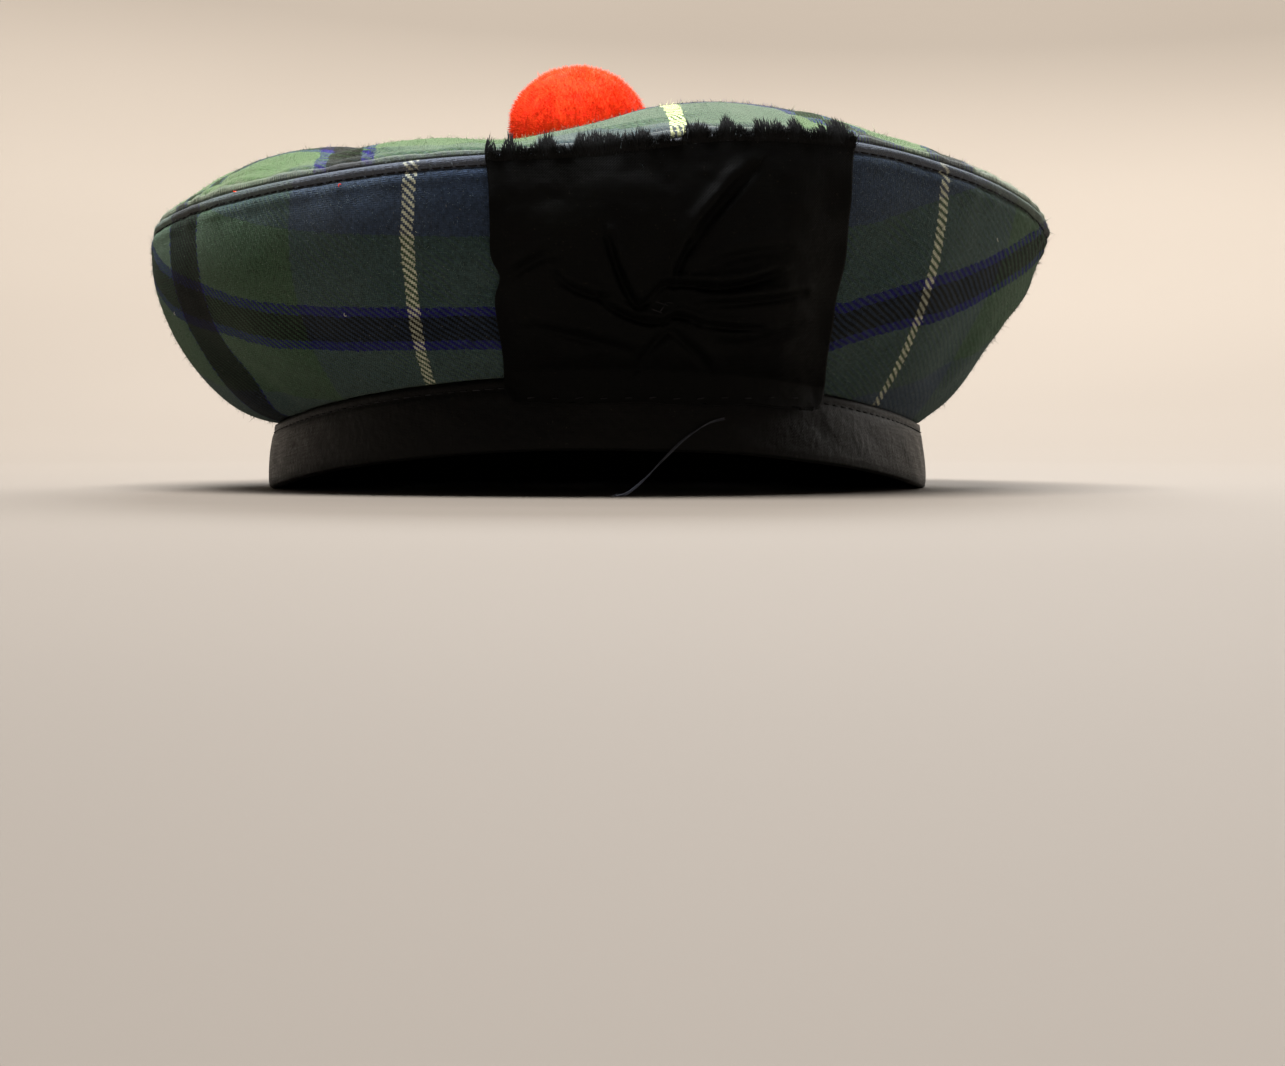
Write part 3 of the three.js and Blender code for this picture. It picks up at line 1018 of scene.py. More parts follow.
@dataclass(frozen=True)
class BlackRibbon:
    """Black woven ribbon, smooth or matt, with its threads and their slubs."""

    name: str
    body: tuple
    worn: tuple
    thread: float
    roughness: float
    sheen: float
    specular: float
    relief: float

    def material(self) -> Material:
        """The finish as a material.

        Returns:
            The material.
        """
        shader = {
            "Sheen Weight": self.sheen, "Sheen Roughness": 0.4, "Specular IOR Level": self.specular,
            "Sheen Tint": colour(190, 180, 160),
        }
        material, graph, inputs = new_material(self.name, shader)
        cloth, space = graph.cloth(), graph.space()
        weave = graph.group(Effect.PLAIN_WEAVE, {"Cloth": cloth, "Thread": self.thread})
        marks = graph.group(Effect.HANDLING, {"Space": space, "Reach": 0.8})
        streaked = graph.math("MULTIPLY_ADD", weave.outputs["Slub"], 0.3, marks.outputs["Worn"])
        shade = graph.mix(graph.math("MULTIPLY", streaked, 0.6), self.body, self.worn)
        dusted = graph.mix(graph.math("MULTIPLY", marks.outputs["Dust"], 0.14), shade, colour(120, 112, 98))
        graph.feed(inputs["Base Color"], dusted)
        gloss = graph.math("MULTIPLY_ADD", weave.outputs["Slub"], 0.12, self.roughness - 0.06)
        graph.feed(inputs["Roughness"], gloss)
        crush = graph.noise(space, 0.55, 3.0, 0.55)
        crushed = graph.math("MULTIPLY", crush, 0.35)
        height = graph.math("MULTIPLY_ADD", weave.outputs["Relief"], self.relief, crushed)
        bumped = graph.add("ShaderNodeBump", {"Strength": 0.7, "Distance": MM, "Height": height})
        graph.feed(inputs["Normal"], bumped.outputs[0])
        return material


@dataclass(frozen=True)
class Yarn:
    """Loose yarn or thread, each strand of a slightly different shade."""

    name: str
    dark: tuple
    pale: tuple
    roughness: float = 0.85
    sheen: float = 0.3
    # A painted glow: emission that lightens the yarn, standing in for light scattered inside the wool.
    painted_glow: float = 0.0

    def material(self) -> Material:
        """The finish as a material.

        Returns:
            The material.
        """
        # The emission here is a painted glow.
        shader = {
            "Sheen Weight": self.sheen, "Sheen Roughness": 0.45, "Sheen Tint": self.pale,
            "Specular IOR Level": 0.2, "Roughness": self.roughness, "Emission Color": self.pale,
            "Emission Strength": self.painted_glow,
        }
        material, graph, inputs = new_material(self.name, shader)
        strand = graph.noise(graph.cloth(), 3.7, 0.0)
        tuft = graph.noise(graph.space(), 0.35, 3.0, 0.6)
        share = graph.limits(graph.between(0.5, strand, tuft), 0.35, 0.65)
        graph.feed(inputs["Base Color"], graph.mix(share, self.dark, self.pale))
        fibre = graph.noise(graph.space(), 3.0, 2.0, 0.7)
        bumped = graph.add("ShaderNodeBump", {"Strength": 0.6, "Distance": 0.3 * MM, "Height": fibre})
        graph.feed(inputs["Normal"], bumped.outputs[0])
        return material


# ---------------------------------------------------------------------------------------------
# The crown and the band


@dataclass(frozen=True)
class HatForm:
    """The hat's outline: its band, its seam and the swell of its two crown pieces."""

    cloth: float = 1.5
    fit_gap: float = 0.3
    band_wall: float = 2.4
    band_half_width: float = 84.0
    band_half_depth: float = 92.5
    band_taper: float = 1.6
    band_height_side: float = 16.0
    band_height_front: float = 16.5
    arch_height: float = 10.5
    arch_half_angle: float = 80.0
    arch_power: float = 0.75
    centre_height: float = 75.5
    crest_at: float = 0.62
    puff_power: float = 2.3
    seam_run: float = 115.0

    def band_radius(self, angles: Array, share: Array | float) -> Array:
        """The band's outer radius.

        Args:
            angles: Angles round the hat.
            share: Shares of the way from its lower to its upper edge.

        Returns:
            The radius there.
        """
        turn = np.radians(angles)
        across = np.sin(turn) / (self.band_half_width - self.band_taper * share)
        along = np.cos(turn) / (self.band_half_depth - self.band_taper * share)
        return 1 / np.hypot(across, along)

    def front_share(self, angles: Array) -> Array:
        """How much of the front's arch there is at each angle."""
        return bump(near_turn(angles, 0), self.arch_half_angle) ** self.arch_power

    def band_foot(self, angles: Array) -> Array:
        """The height of the band's lower edge."""
        return self.arch_height * self.front_share(angles)

    def band_height(self, angles: Array) -> Array:
        """How tall the band is."""
        rise = self.band_height_front - self.band_height_side
        return self.band_height_side + rise * self.front_share(angles)

    def band_top(self, angles: Array) -> Array:
        """The height of the band's upper edge."""
        return self.band_foot(angles) + self.band_height(angles)

    def side(self, angles: Array, drop: Array) -> tuple[Array, Array]:
        """The side piece's outer face.

        Args:
            angles: Angles round the hat.
            drop: Shares of the way from the seam to the band.

        Returns:
            The radius and the height there.
        """
        seam_r = read_round(SEAM, "radius", angles)
        seam_z = read_round(SEAM, "height", angles)
        foot_r = self.band_radius(angles, 1) - (self.band_wall - self.cloth) / 2
        foot_z = self.band_top(angles) + self.fit_gap
        out_r = seam_r + read_round(SWELL, "seam_out", angles)
        out_z = seam_z - read_round(SWELL, "seam_down", angles)
        over_r = foot_r + read_round(SWELL, "band_out", angles)
        over_z = foot_z + read_round(SWELL, "band_up", angles)
        back = 1 - drop
        weights = (back**3, 3 * back**2 * drop, 3 * back * drop**2, drop**3)
        radius = sum(w * p for w, p in zip(weights, (seam_r, out_r, over_r, foot_r)))
        height = sum(w * p for w, p in zip(weights, (seam_z, out_z, over_z, foot_z)))
        for fold in SOFT_FOLDS:
            near = bump(near_turn(angles, fold.angle), fold.half_angle)
            radius = radius + fold.depth * near * bump(drop - fold.drop, fold.half_drop)
        return radius, height

    def top(self, angles: Array, share: Array) -> tuple[Array, Array]:
        """The top piece's outer face.

        Args:
            angles: Angles round the hat.
            share: Shares of the way from its centre to the seam.

        Returns:
            The radius and the height there.
        """
        seam_z = read_round(SEAM, "height", angles)
        crest = read_round(CREST, "height", angles)
        outer = np.clip((share - self.crest_at) / (1 - self.crest_at), 0, 1)
        inner = smooth(share / self.crest_at)
        height = np.where(
            share > self.crest_at,
            crest - (crest - seam_z) * outer**self.puff_power,
            self.centre_height + (crest - self.centre_height) * inner,
        )
        return read_round(SEAM, "radius", angles) * share, height


class Spaced(NamedTuple):
    """A lattice of points evenly spaced down from the seam."""

    points: Array
    away: Array
    total: Array


@dataclass(frozen=True)
class SeamWelt:
    """How cloth lies beside the crown's seam: a crease, a padded strip, and a stitched groove."""

    crease: float = 0.85
    crease_width: float = 0.6
    strip: float = 0.32
    groove_at: float = 2.8
    groove: float = 0.9
    groove_width: float = 0.42
    beyond: float = 0.3
    stitch: float = 2.8
    pucker: float = 0.42

    def rise(self, along: Array, away: Array) -> Array:
        """How far the cloth stands out.

        Args:
            along: Millimetres along the seam.
            away: Millimetres away from it.

        Returns:
            The height over the plain surface, without the crease.
        """
        line_at = stacked(along, 0, 0)
        away = away + 0.35 * soft_noise(line_at, 11, 4) * np.clip(away / 2, 0, 1)
        plump = self.strip * (1 + 0.3 * soft_noise(line_at, 7, 6))
        strip = plump * np.sin(math.pi * np.clip(away / self.groove_at, 0, 1)) ** 0.8
        pinch = 0.8 + 0.2 * np.cos(2 * math.pi * along / self.stitch)
        groove = self.groove * dimple(away - self.groove_at, self.groove_width) * pinch
        beyond = self.beyond * dimple(away - self.groove_at - 1.8, 1.5)
        ripple = soft_noise(stacked(along, away * 0.35, 0), 4.5, 5)
        ripple = ripple * self.pucker * dimple(away - self.groove_at, 6)
        return strip - groove + beyond + ripple * np.clip(away / 2, 0, 1)

    def tuck(self, away: Array) -> Array:
        """How far the cloth turns in at the seam itself."""
        return self.crease * dimple(away, self.crease_width)


def spaced_rows(points: Array, near: Array, shares: Array) -> Spaced:
    """Re-spaces the lines of a fine lattice by their own length.

    Args:
        points: Columns by many rows by 3, starting at the seam.
        near: Distances from the seam of the first rows.
        shares: Where the other rows are, as shares of the length that is left.

    Returns:
        The lattice with rows at those distances.
    """
    steps = np.linalg.norm(np.diff(points, axis=1), axis=2)
    run = np.concatenate([np.zeros((len(points), 1)), np.cumsum(steps, axis=1)], axis=1)
    total = run[:, -1:]
    first = np.broadcast_to(near, (len(points), len(near)))
    away = np.concatenate([first, near[-1] + (total - near[-1]) * shares], axis=1)
    lines = [read_line(away[i], run[i], points[i]) for i in range(len(points))]
    return Spaced(np.array(lines), away, total)


@dataclass
class Crown:
    """The crown's side and top pieces, with their seam, stitches and nap."""

    form: HatForm
    welt: SeamWelt
    columns: int = 720
    fine_rows: int = 240
    near_to: float = 9.0
    near_rows: int = 25
    side_rows: int = 50
    top_rows: int = 62
    inner_rows: int = 16
    flat_seam_radius: float = 275.0
    flat_foot_radius: float = 208.0
    flat_turn: float = 0.4167
    top_turn: float = 2.5
    easing: float = 0.05
    easing_growth: float = 0.0013
    hidden_tuck: float = 20.4
    tuck_from: float = -8.0
    tuck_turn: float = 36.0
    top_ease_from: float = 12.1
    top_ease: float = 0.14
    cockade_at: float = 10.0
    spokes: int = 14
    nap_count: int = 20000
    topstitch_radius: float = 0.19

    def __post_init__(self) -> None:
        """Works out the two lattices that the pieces share."""
        self.angles = np.linspace(-180, 180, self.columns, endpoint=False)[:, None]
        self.along = np.radians(self.angles) * self.form.seam_run
        self.near = np.linspace(0, self.near_to, self.near_rows)
        self.side_outer, self.side_flat, self.side_normals = self._side_face()
        self.top_outer, self.top_normals = self._top_face()

    def _wrinkles(self, points: Array, away: Array) -> Array:
        """The soft unevenness of handled cloth.

        Args:
            points: Places on the cloth.
            away: Their distances from the seam.

        Returns:
            How far the cloth stands out there.
        """
        return swelling(WRINKLES, points) * np.clip((away - 3) / 14, 0, 1)

    def _tucked(self, points: Array, away: Array) -> Array:
        """Turns the cloth in at the seam, towards the middle of the crown and down."""
        return points + leaning(points, -0.86, -0.5) * self.welt.tuck(away)[..., None]

    def _side_face(self) -> tuple[Array, Array, Array]:
        """Works out the side piece.

        Returns:
            Its outer face, its cloth coordinates and its normals.
        """
        drops = np.linspace(0, 1, self.fine_rows)[None]
        radius, height = self.form.side(self.angles, drops)
        radius, height = np.broadcast_arrays(radius, height)
        fine = place(self.angles, radius, height)
        fine[:, 0, 2] -= self.form.fit_gap / 2
        shares = np.linspace(0, 1, self.side_rows + 1)[1:]
        lattice = spaced_rows(fine, self.near, shares)
        normals = outward_normals(lattice.points, lattice.points * [1, 1, 0])
        below = lattice.total - lattice.away
        wrinkles = self._wrinkles(lattice.points, lattice.away) * np.clip(below / 12, 0, 1)
        wrinkles *= 1 - 0.75 * dimple(near_turn(self.angles, self.cockade_at), 24)
        foot_run = near_turn(self.angles, 0) * 1.52
        gathers = -0.55 * (0.5 + 0.5 * soft_noise(stacked(foot_run, 0, 0), 5, 7)) * dimple(below - 2, 5.5)
        back_away = np.abs(near_turn(self.angles, 180)) * 1.9
        back_seam = 0.45 * dimple(back_away - 2.6, 2.2) - 0.9 * dimple(back_away, 0.75)
        rise = self.welt.rise(self.along, lattice.away) + wrinkles + gathers
        rise = rise + back_seam * np.clip(lattice.away / 4, 0, 1)
        points = self._tucked(lattice.points + normals * rise[..., None], lattice.away)
        return points, self._side_flat(lattice), outward_normals(points, normals)

    def _side_flat(self, lattice: Spaced) -> Array:
        """Lays the side piece flat, as the part of a ring that it was cut as.

        Args:
            lattice: Its points and their distances from the seam.

        Returns:
            Its cloth coordinates and the distance from the seam, with one more column than it has.
        """
        reach = self.flat_seam_radius - self.flat_foot_radius
        down = lattice.away / lattice.total
        down = np.concatenate([down, down[:1]])
        ring = self.flat_seam_radius - reach * down
        angles = np.linspace(-180, 180, self.columns + 1)[:, None]
        turned = np.radians(angles) * self.flat_turn
        tucked = self.hidden_tuck * smooth((angles - self.tuck_from) / self.tuck_turn)
        easing = self.easing + self.easing_growth * np.clip(np.abs(angles), 0, 90)
        across = ring * np.sin(turned) * (1 + easing * down) + tucked
        drift = read_round(GRAIN, "drift", np.clip(angles, -180, 179.9))
        away = np.concatenate([lattice.away, lattice.away[:1]])
        return stacked(across, ring * np.cos(turned) - drift, away)

    def _top_face(self) -> tuple[Array, Array]:
        """Works out the top piece.

        Returns:
            Its outer face and its normals.
        """
        shares = np.linspace(1, 0, self.fine_rows)[None]
        radius, height = self.form.top(self.angles, shares)
        fine = place(self.angles, radius, height)
        fine[:, 0, 2] += self.form.fit_gap / 2
        rows = np.linspace(0, 1, self.top_rows + 1)[1:-1]
        lattice = spaced_rows(fine, self.near, rows)
        normals = outward_normals(lattice.points, np.array([0, 0, 1]))
        left = lattice.total - lattice.away
        wrinkles = self._wrinkles(lattice.points, lattice.away)
        ripple_at = stacked(self.along, lattice.away * 0.3, 0)
        ripples = soft_noise(ripple_at, 8, 9) * 0.55 * dimple(lattice.away - 12, 13)
        spokes = -0.8 * (0.5 + 0.5 * np.cos(np.radians(self.angles) * self.spokes)) * dimple(left - 18, 9)
        rise = self.welt.rise(self.along, lattice.away) + (wrinkles + spokes) * np.clip(left / 16, 0, 1)
        rise = rise + ripples * np.clip(lattice.away / 5, 0, 1)
        for crease in LONG_CREASES:
            off = lattice.away - crease.away - 1.4 * np.sin(self.angles * 0.17 + crease.angle)
            shape = -dimple(off, crease.width) + 0.6 * dimple(off - 2.4 * crease.width, 1.6 * crease.width)
            reach = bump(near_turn(self.angles, crease.angle), crease.half_angle)
            rise = rise + crease.depth * shape * reach
        points = self._tucked(lattice.points + normals * rise[..., None], lattice.away)
        return points, outward_normals(points, normals)

    def _inner(self, outer: Array, normals: Array, rim: Array) -> Array:
        """The cloth's inner face, in fewer rows, from its outer one.

        Args:
            outer: The outer face, starting at the seam.
            normals: Its normals.
            rim: The inner face's edge at the seam.

        Returns:
            Columns by rows by 3, starting at the seam.
        """
        rows = np.unique(np.linspace(8, outer.shape[1] - 1, self.inner_rows).round().astype(int))
        calm = unit(normals[:, rows] + normals[:, np.maximum(rows - 3, 0)])
        face = outer[:, rows] - calm * (self.form.cloth + 0.15)
        return np.concatenate([rim[:, None], face], axis=1)

    def build(self, side_wool: Material, top_wool: Material) -> None:
        """Makes the two pieces.

        Args:
            side_wool: The side piece's finish.
            top_wool: The top piece's finish.
        """
        mitre = leaning(self.side_outer[:, 0], -1.5, -0.75)
        inner = self._inner(self.side_outer, self.side_normals, self.side_outer[:, 0] + mitre)
        inner[:, -1] = self.side_outer[:, -1]
        inner[:, -1, :2] -= unit(self.side_outer[:, -1, :2]) * self.form.cloth
        loop = np.concatenate([self.side_outer[:, ::-1], inner], axis=1)
        picks = np.linspace(0, self.side_flat.shape[1] - 1, inner.shape[1]).round().astype(int)
        flat = np.concatenate([self.side_flat[:, ::-1], self.side_flat[:, picks]], axis=1)
        side = ring_surface(loop, flat).made("crown_side_cloth", side_wool, Slot.TARTAN)
        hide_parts("crown_side")
        under = self._inner(self.top_outer, self.top_normals, self.top_outer[:, 0] + mitre)
        centre = np.array([0, 0, self.form.centre_height])
        dish = dish_surface(self.top_outer, under, centre, centre - [0, 0, self.form.cloth])
        dish.cloth = [self._top_flat(each) for each in dish.cloth]
        top = dish.made("crown_top_cloth", top_wool, Slot.TARTAN)
        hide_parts("crown_top")

    def _top_flat(self, flat: Array) -> Array:
        """Lays the top piece flat and turns it a little, as it was cut.

        Args:
            flat: Places on it, seen from above.

        Returns:
            Their cloth coordinates and their distance from the seam.
        """
        turn = math.radians(self.top_turn)
        x = flat[..., 0] * math.cos(turn) + flat[..., 1] * math.sin(turn)
        y = flat[..., 1] * math.cos(turn) - flat[..., 0] * math.sin(turn)
        away = self.form.seam_run - 0.5 - np.hypot(flat[..., 0], flat[..., 1])
        beyond = np.clip(x - self.top_ease_from, 0, None)
        skew = 0.3 * (x - 22) + 0.4 * np.clip(x - 25, 0, None)
        front = smooth((-y - 15) / 50)
        return stacked(x + self.top_ease * beyond, y + skew * front, away)

    def nap(
        self, name: str, points: Array, normals: Array, flat: Array, wool: Material, seed: int
    ) -> None:
        """Raises loose fibres from a piece's outer face.

        Args:
            name: The new piece's name.
            points: The outer face.
            normals: Its normals.
            flat: Its cloth coordinates.
            wool: The fibres' finish, a painted-lit copy of the cloth's, which colours each fibre by where it
                is rooted.
            seed: Which random fibres.
        """
        rng = np.random.default_rng(seed)
        columns, rows = points.shape[:2]
        weight = np.linalg.norm(points[0, :, :2] - points[1, :, :2], axis=1)
        weight[:-1] *= np.linalg.norm(points[0, 1:] - points[0, :-1], axis=1)
        row = rng.choice(rows - 2, self.nap_count, p=weight[: rows - 2] / weight[: rows - 2].sum())
        column = rng.integers(0, columns, self.nap_count)
        mix = rng.random((self.nap_count, 1))
        root = points[column, row] * (1 - mix) + points[(column + 1) % columns, row + 1] * mix
        outward = normals[column, row]
        lean = unit(rng.normal(size=(self.nap_count, 3)))
        length = rng.gamma(2.6, 0.24, (self.nap_count, 1)) + 0.35
        start = root - outward * 0.1
        tip = start + unit(outward * 0.55 + lean * 0.8) * length
        low = ((tip - root) * outward).sum(1, keepdims=True)
        tip = tip + outward * np.clip(0.12 - low, 0, None)
        paths = np.stack([start, tip], axis=1)
        radii = rng.uniform(0.035, 0.06, (self.nap_count, 1))
        strand_surface(paths, radii, flat[column, row]).made(name, wool, Slot.TARTAN)

    def build_nap(self, side_wool: Material, top_wool: Material) -> None:
        """Raises the nap on both pieces.

        Args:
            side_wool: The side piece's fuzz finish, a painted-lit copy of its cloth.
            top_wool: The top piece's fuzz finish, a painted-lit copy of its cloth.
        """
        self.nap("crown_side_nap", self.side_outer, self.side_normals, self.side_flat, side_wool, 11)
        top_flat = self._top_flat(self.top_outer[..., :2])
        self.nap("crown_top_nap", self.top_outer, self.top_normals, top_flat, top_wool, 12)

    def stitches(self, name: str, points: Array, normals: Array, thread: Material) -> None:
        """Lays a row of topstitching in a piece's groove.

        Args:
            name: The new piece's name.
            points: The piece's outer face.
            normals: Its normals.
            thread: The thread's finish.
        """
        row = int(np.argmin(np.abs(self.near - self.welt.groove_at)))
        line, up = points[:, row], normals[:, row]
        run = np.concatenate([[0], np.cumsum(np.linalg.norm(np.roll(line, -1, axis=0) - line, axis=1))])
        count = int(run[-1] / self.welt.stitch)
        closed, closed_up = np.concatenate([line, line[:1]]), np.concatenate([up, up[:1]])
        shares = np.array([0.0, 0.06, 0.2, 0.5, 0.8, 0.94, 1.0])
        lift = np.array([-0.45, -0.05, 0.16, 0.22, 0.16, -0.05, -0.45])
        at = (np.arange(count)[:, None] + 0.1 + shares * 0.8) * run[-1] / count
        paths = read_line(at, run, closed) + read_line(at, run, closed_up) * lift[:, None]
        cloth = stacked(np.arange(count) * 1.7, 0)
        radii = np.full(len(shares) - 1, self.topstitch_radius)
        strand_surface(paths, radii, cloth, sides=5).made(name, thread, Slot.BINDING)

    def build_stitches(self, thread: Material) -> None:
        """Sews both rows of topstitching beside the seam."""
        self.stitches("side_topstitching", self.side_outer, self.side_normals, thread)
        self.stitches("top_topstitching", self.top_outer, self.top_normals, thread)


@dataclass
class Headband:
    """The ribbon binding, folded round the crown's edge and stitched near its upper edge."""

    form: HatForm
    columns: int = 480
    fold_points: int = 9
    face_points: int = 22
    lip_points: int = 5
    stitch_below: float = 1.9
    stitch_every: float = 2.9
    stitch_radius: float = 0.16
    bulge: float = 0.55

    def _bulge(self, share: Array) -> Array:
        """How far the binding's face swells out, at shares of its height."""
        return self.bulge * np.sin(math.pi * share) ** 0.7

    def _profile(self, angles: Array) -> tuple[Array, Array, Array]:
        """The binding's section at each angle.

        Args:
            angles: The columns' angles.

        Returns:
            How far out of the band's middle line each point is, its share of the band's height,
            and its distance along the ribbon.
        """
        half = self.form.band_wall / 2
        tall = self.form.band_height(angles)
        turn = np.linspace(-math.pi / 2, 0, self.fold_points)[None]
        low_out, low_up = half * np.cos(turn), half * (1 + np.sin(turn)) * 0.8
        share = np.linspace(0.08, 1, self.face_points)[None] ** 0.9
        face_out = half + self._bulge(share) + 0 * tall
        face_up = share * tall
        lip = np.linspace(0, math.pi / 2, self.lip_points)[None]
        lip_out = half * np.cos(lip) - 0.1 + 0 * tall
        lip_up = tall + 0.35 * np.sin(lip)
        out = np.concatenate([low_out + 0 * tall, face_out, lip_out], axis=1)
        up = np.concatenate([low_up + 0 * tall, face_up, lip_up], axis=1)
        inner_out = np.clip(-out[:, ::-1], -half, None)
        out = np.concatenate([out, inner_out[:, :-1]], axis=1)
        up = np.concatenate([up, up[:, :0:-1]], axis=1)
        step = np.hypot(np.diff(out, axis=1), np.diff(up, axis=1))
        run = np.concatenate([0 * tall, np.cumsum(step, axis=1)], axis=1)
        return out, up, run

    def build(self, ribbon: Material, thread: Material) -> None:
        """Makes the binding and its stitching.

        Args:
            ribbon: The ribbon's finish.
            thread: The thread's finish.
        """
        form = self.form
        angles = np.linspace(-180, 180, self.columns, endpoint=False)[:, None]
        out, up, run = self._profile(angles)
        share = up / form.band_height(angles)
        middle = form.band_radius(angles, share) - form.band_wall / 2
        foot = form.band_foot(angles)
        face = place(angles, middle + out, foot + up)
        outer = np.clip(out / (form.band_wall / 2), 0, 1)
        around = np.radians(angles) * form.band_half_width
        slant = stacked(around + up * 1.1, (around - up * 1.1) * 0.35, up * 0.2)
        creases = swelling(BINDING_CREASES, slant)
        easing = soft_noise(stacked(around, up * 0.3, 0), 24, 23) * 0.35
        stitched = form.band_height(angles) - self.stitch_below
        pinch = 0.8 + 0.2 * np.cos(2 * math.pi * around / self.stitch_every)
        groove = -0.42 * dimple(up - stitched, 0.55) * pinch
        rise = (creases + easing) * np.sin(math.pi * np.clip(share, 0, 1)) + groove
        face = face + leaning(face, 1, 0) * (rise * outer)[..., None]
        waver = soft_noise(stacked(around, 0, 0), 19, 24)
        free = np.clip(foot / 3, 0, 1)
        face[..., 2] += waver * 0.7 * free * (1 - np.clip(share, 0, 1))
        face[..., 2] = np.maximum(face[..., 2], 0)
        around_all = np.linspace(-math.pi, math.pi, self.columns + 1)[:, None] * form.band_half_width
        run_all = np.concatenate([run, run[:1]])
        flat = stacked(around_all, run_all)
        binding = ring_surface(face, flat).made("headband_binding", ribbon, Slot.BINDING)
        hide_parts("headband")
        self._stitch(thread)

    def _stitch(self, thread: Material) -> None:
        """Sews the binding on, with small stitches below its upper edge.

        Args:
            thread: The thread's finish.
        """
        form = self.form
        count = int(2 * math.pi * form.band_half_width / self.stitch_every)
        shares = np.array([0.0, 0.08, 0.3, 0.7, 0.92, 1.0])
        lift = np.array([-0.5, -0.1, 0.1, 0.1, -0.1, -0.5])
        angles = ((np.arange(count)[:, None] + 0.15 + shares * 0.7) / count) * 360 - 180
        up = form.band_height(angles) - self.stitch_below
        share = up / form.band_height(angles)
        radius = form.band_radius(angles, share) + self._bulge(share) - 0.25 + lift
        paths = place(angles, radius, form.band_foot(angles) + up)
        cloth = stacked(np.arange(count) * 2.3, 1)
        radii = np.full(len(shares) - 1, self.stitch_radius)
        strand_surface(paths, radii, cloth, sides=5).made("binding_stitches", thread, Slot.BINDING)


# ---------------------------------------------------------------------------------------------
# The cockade


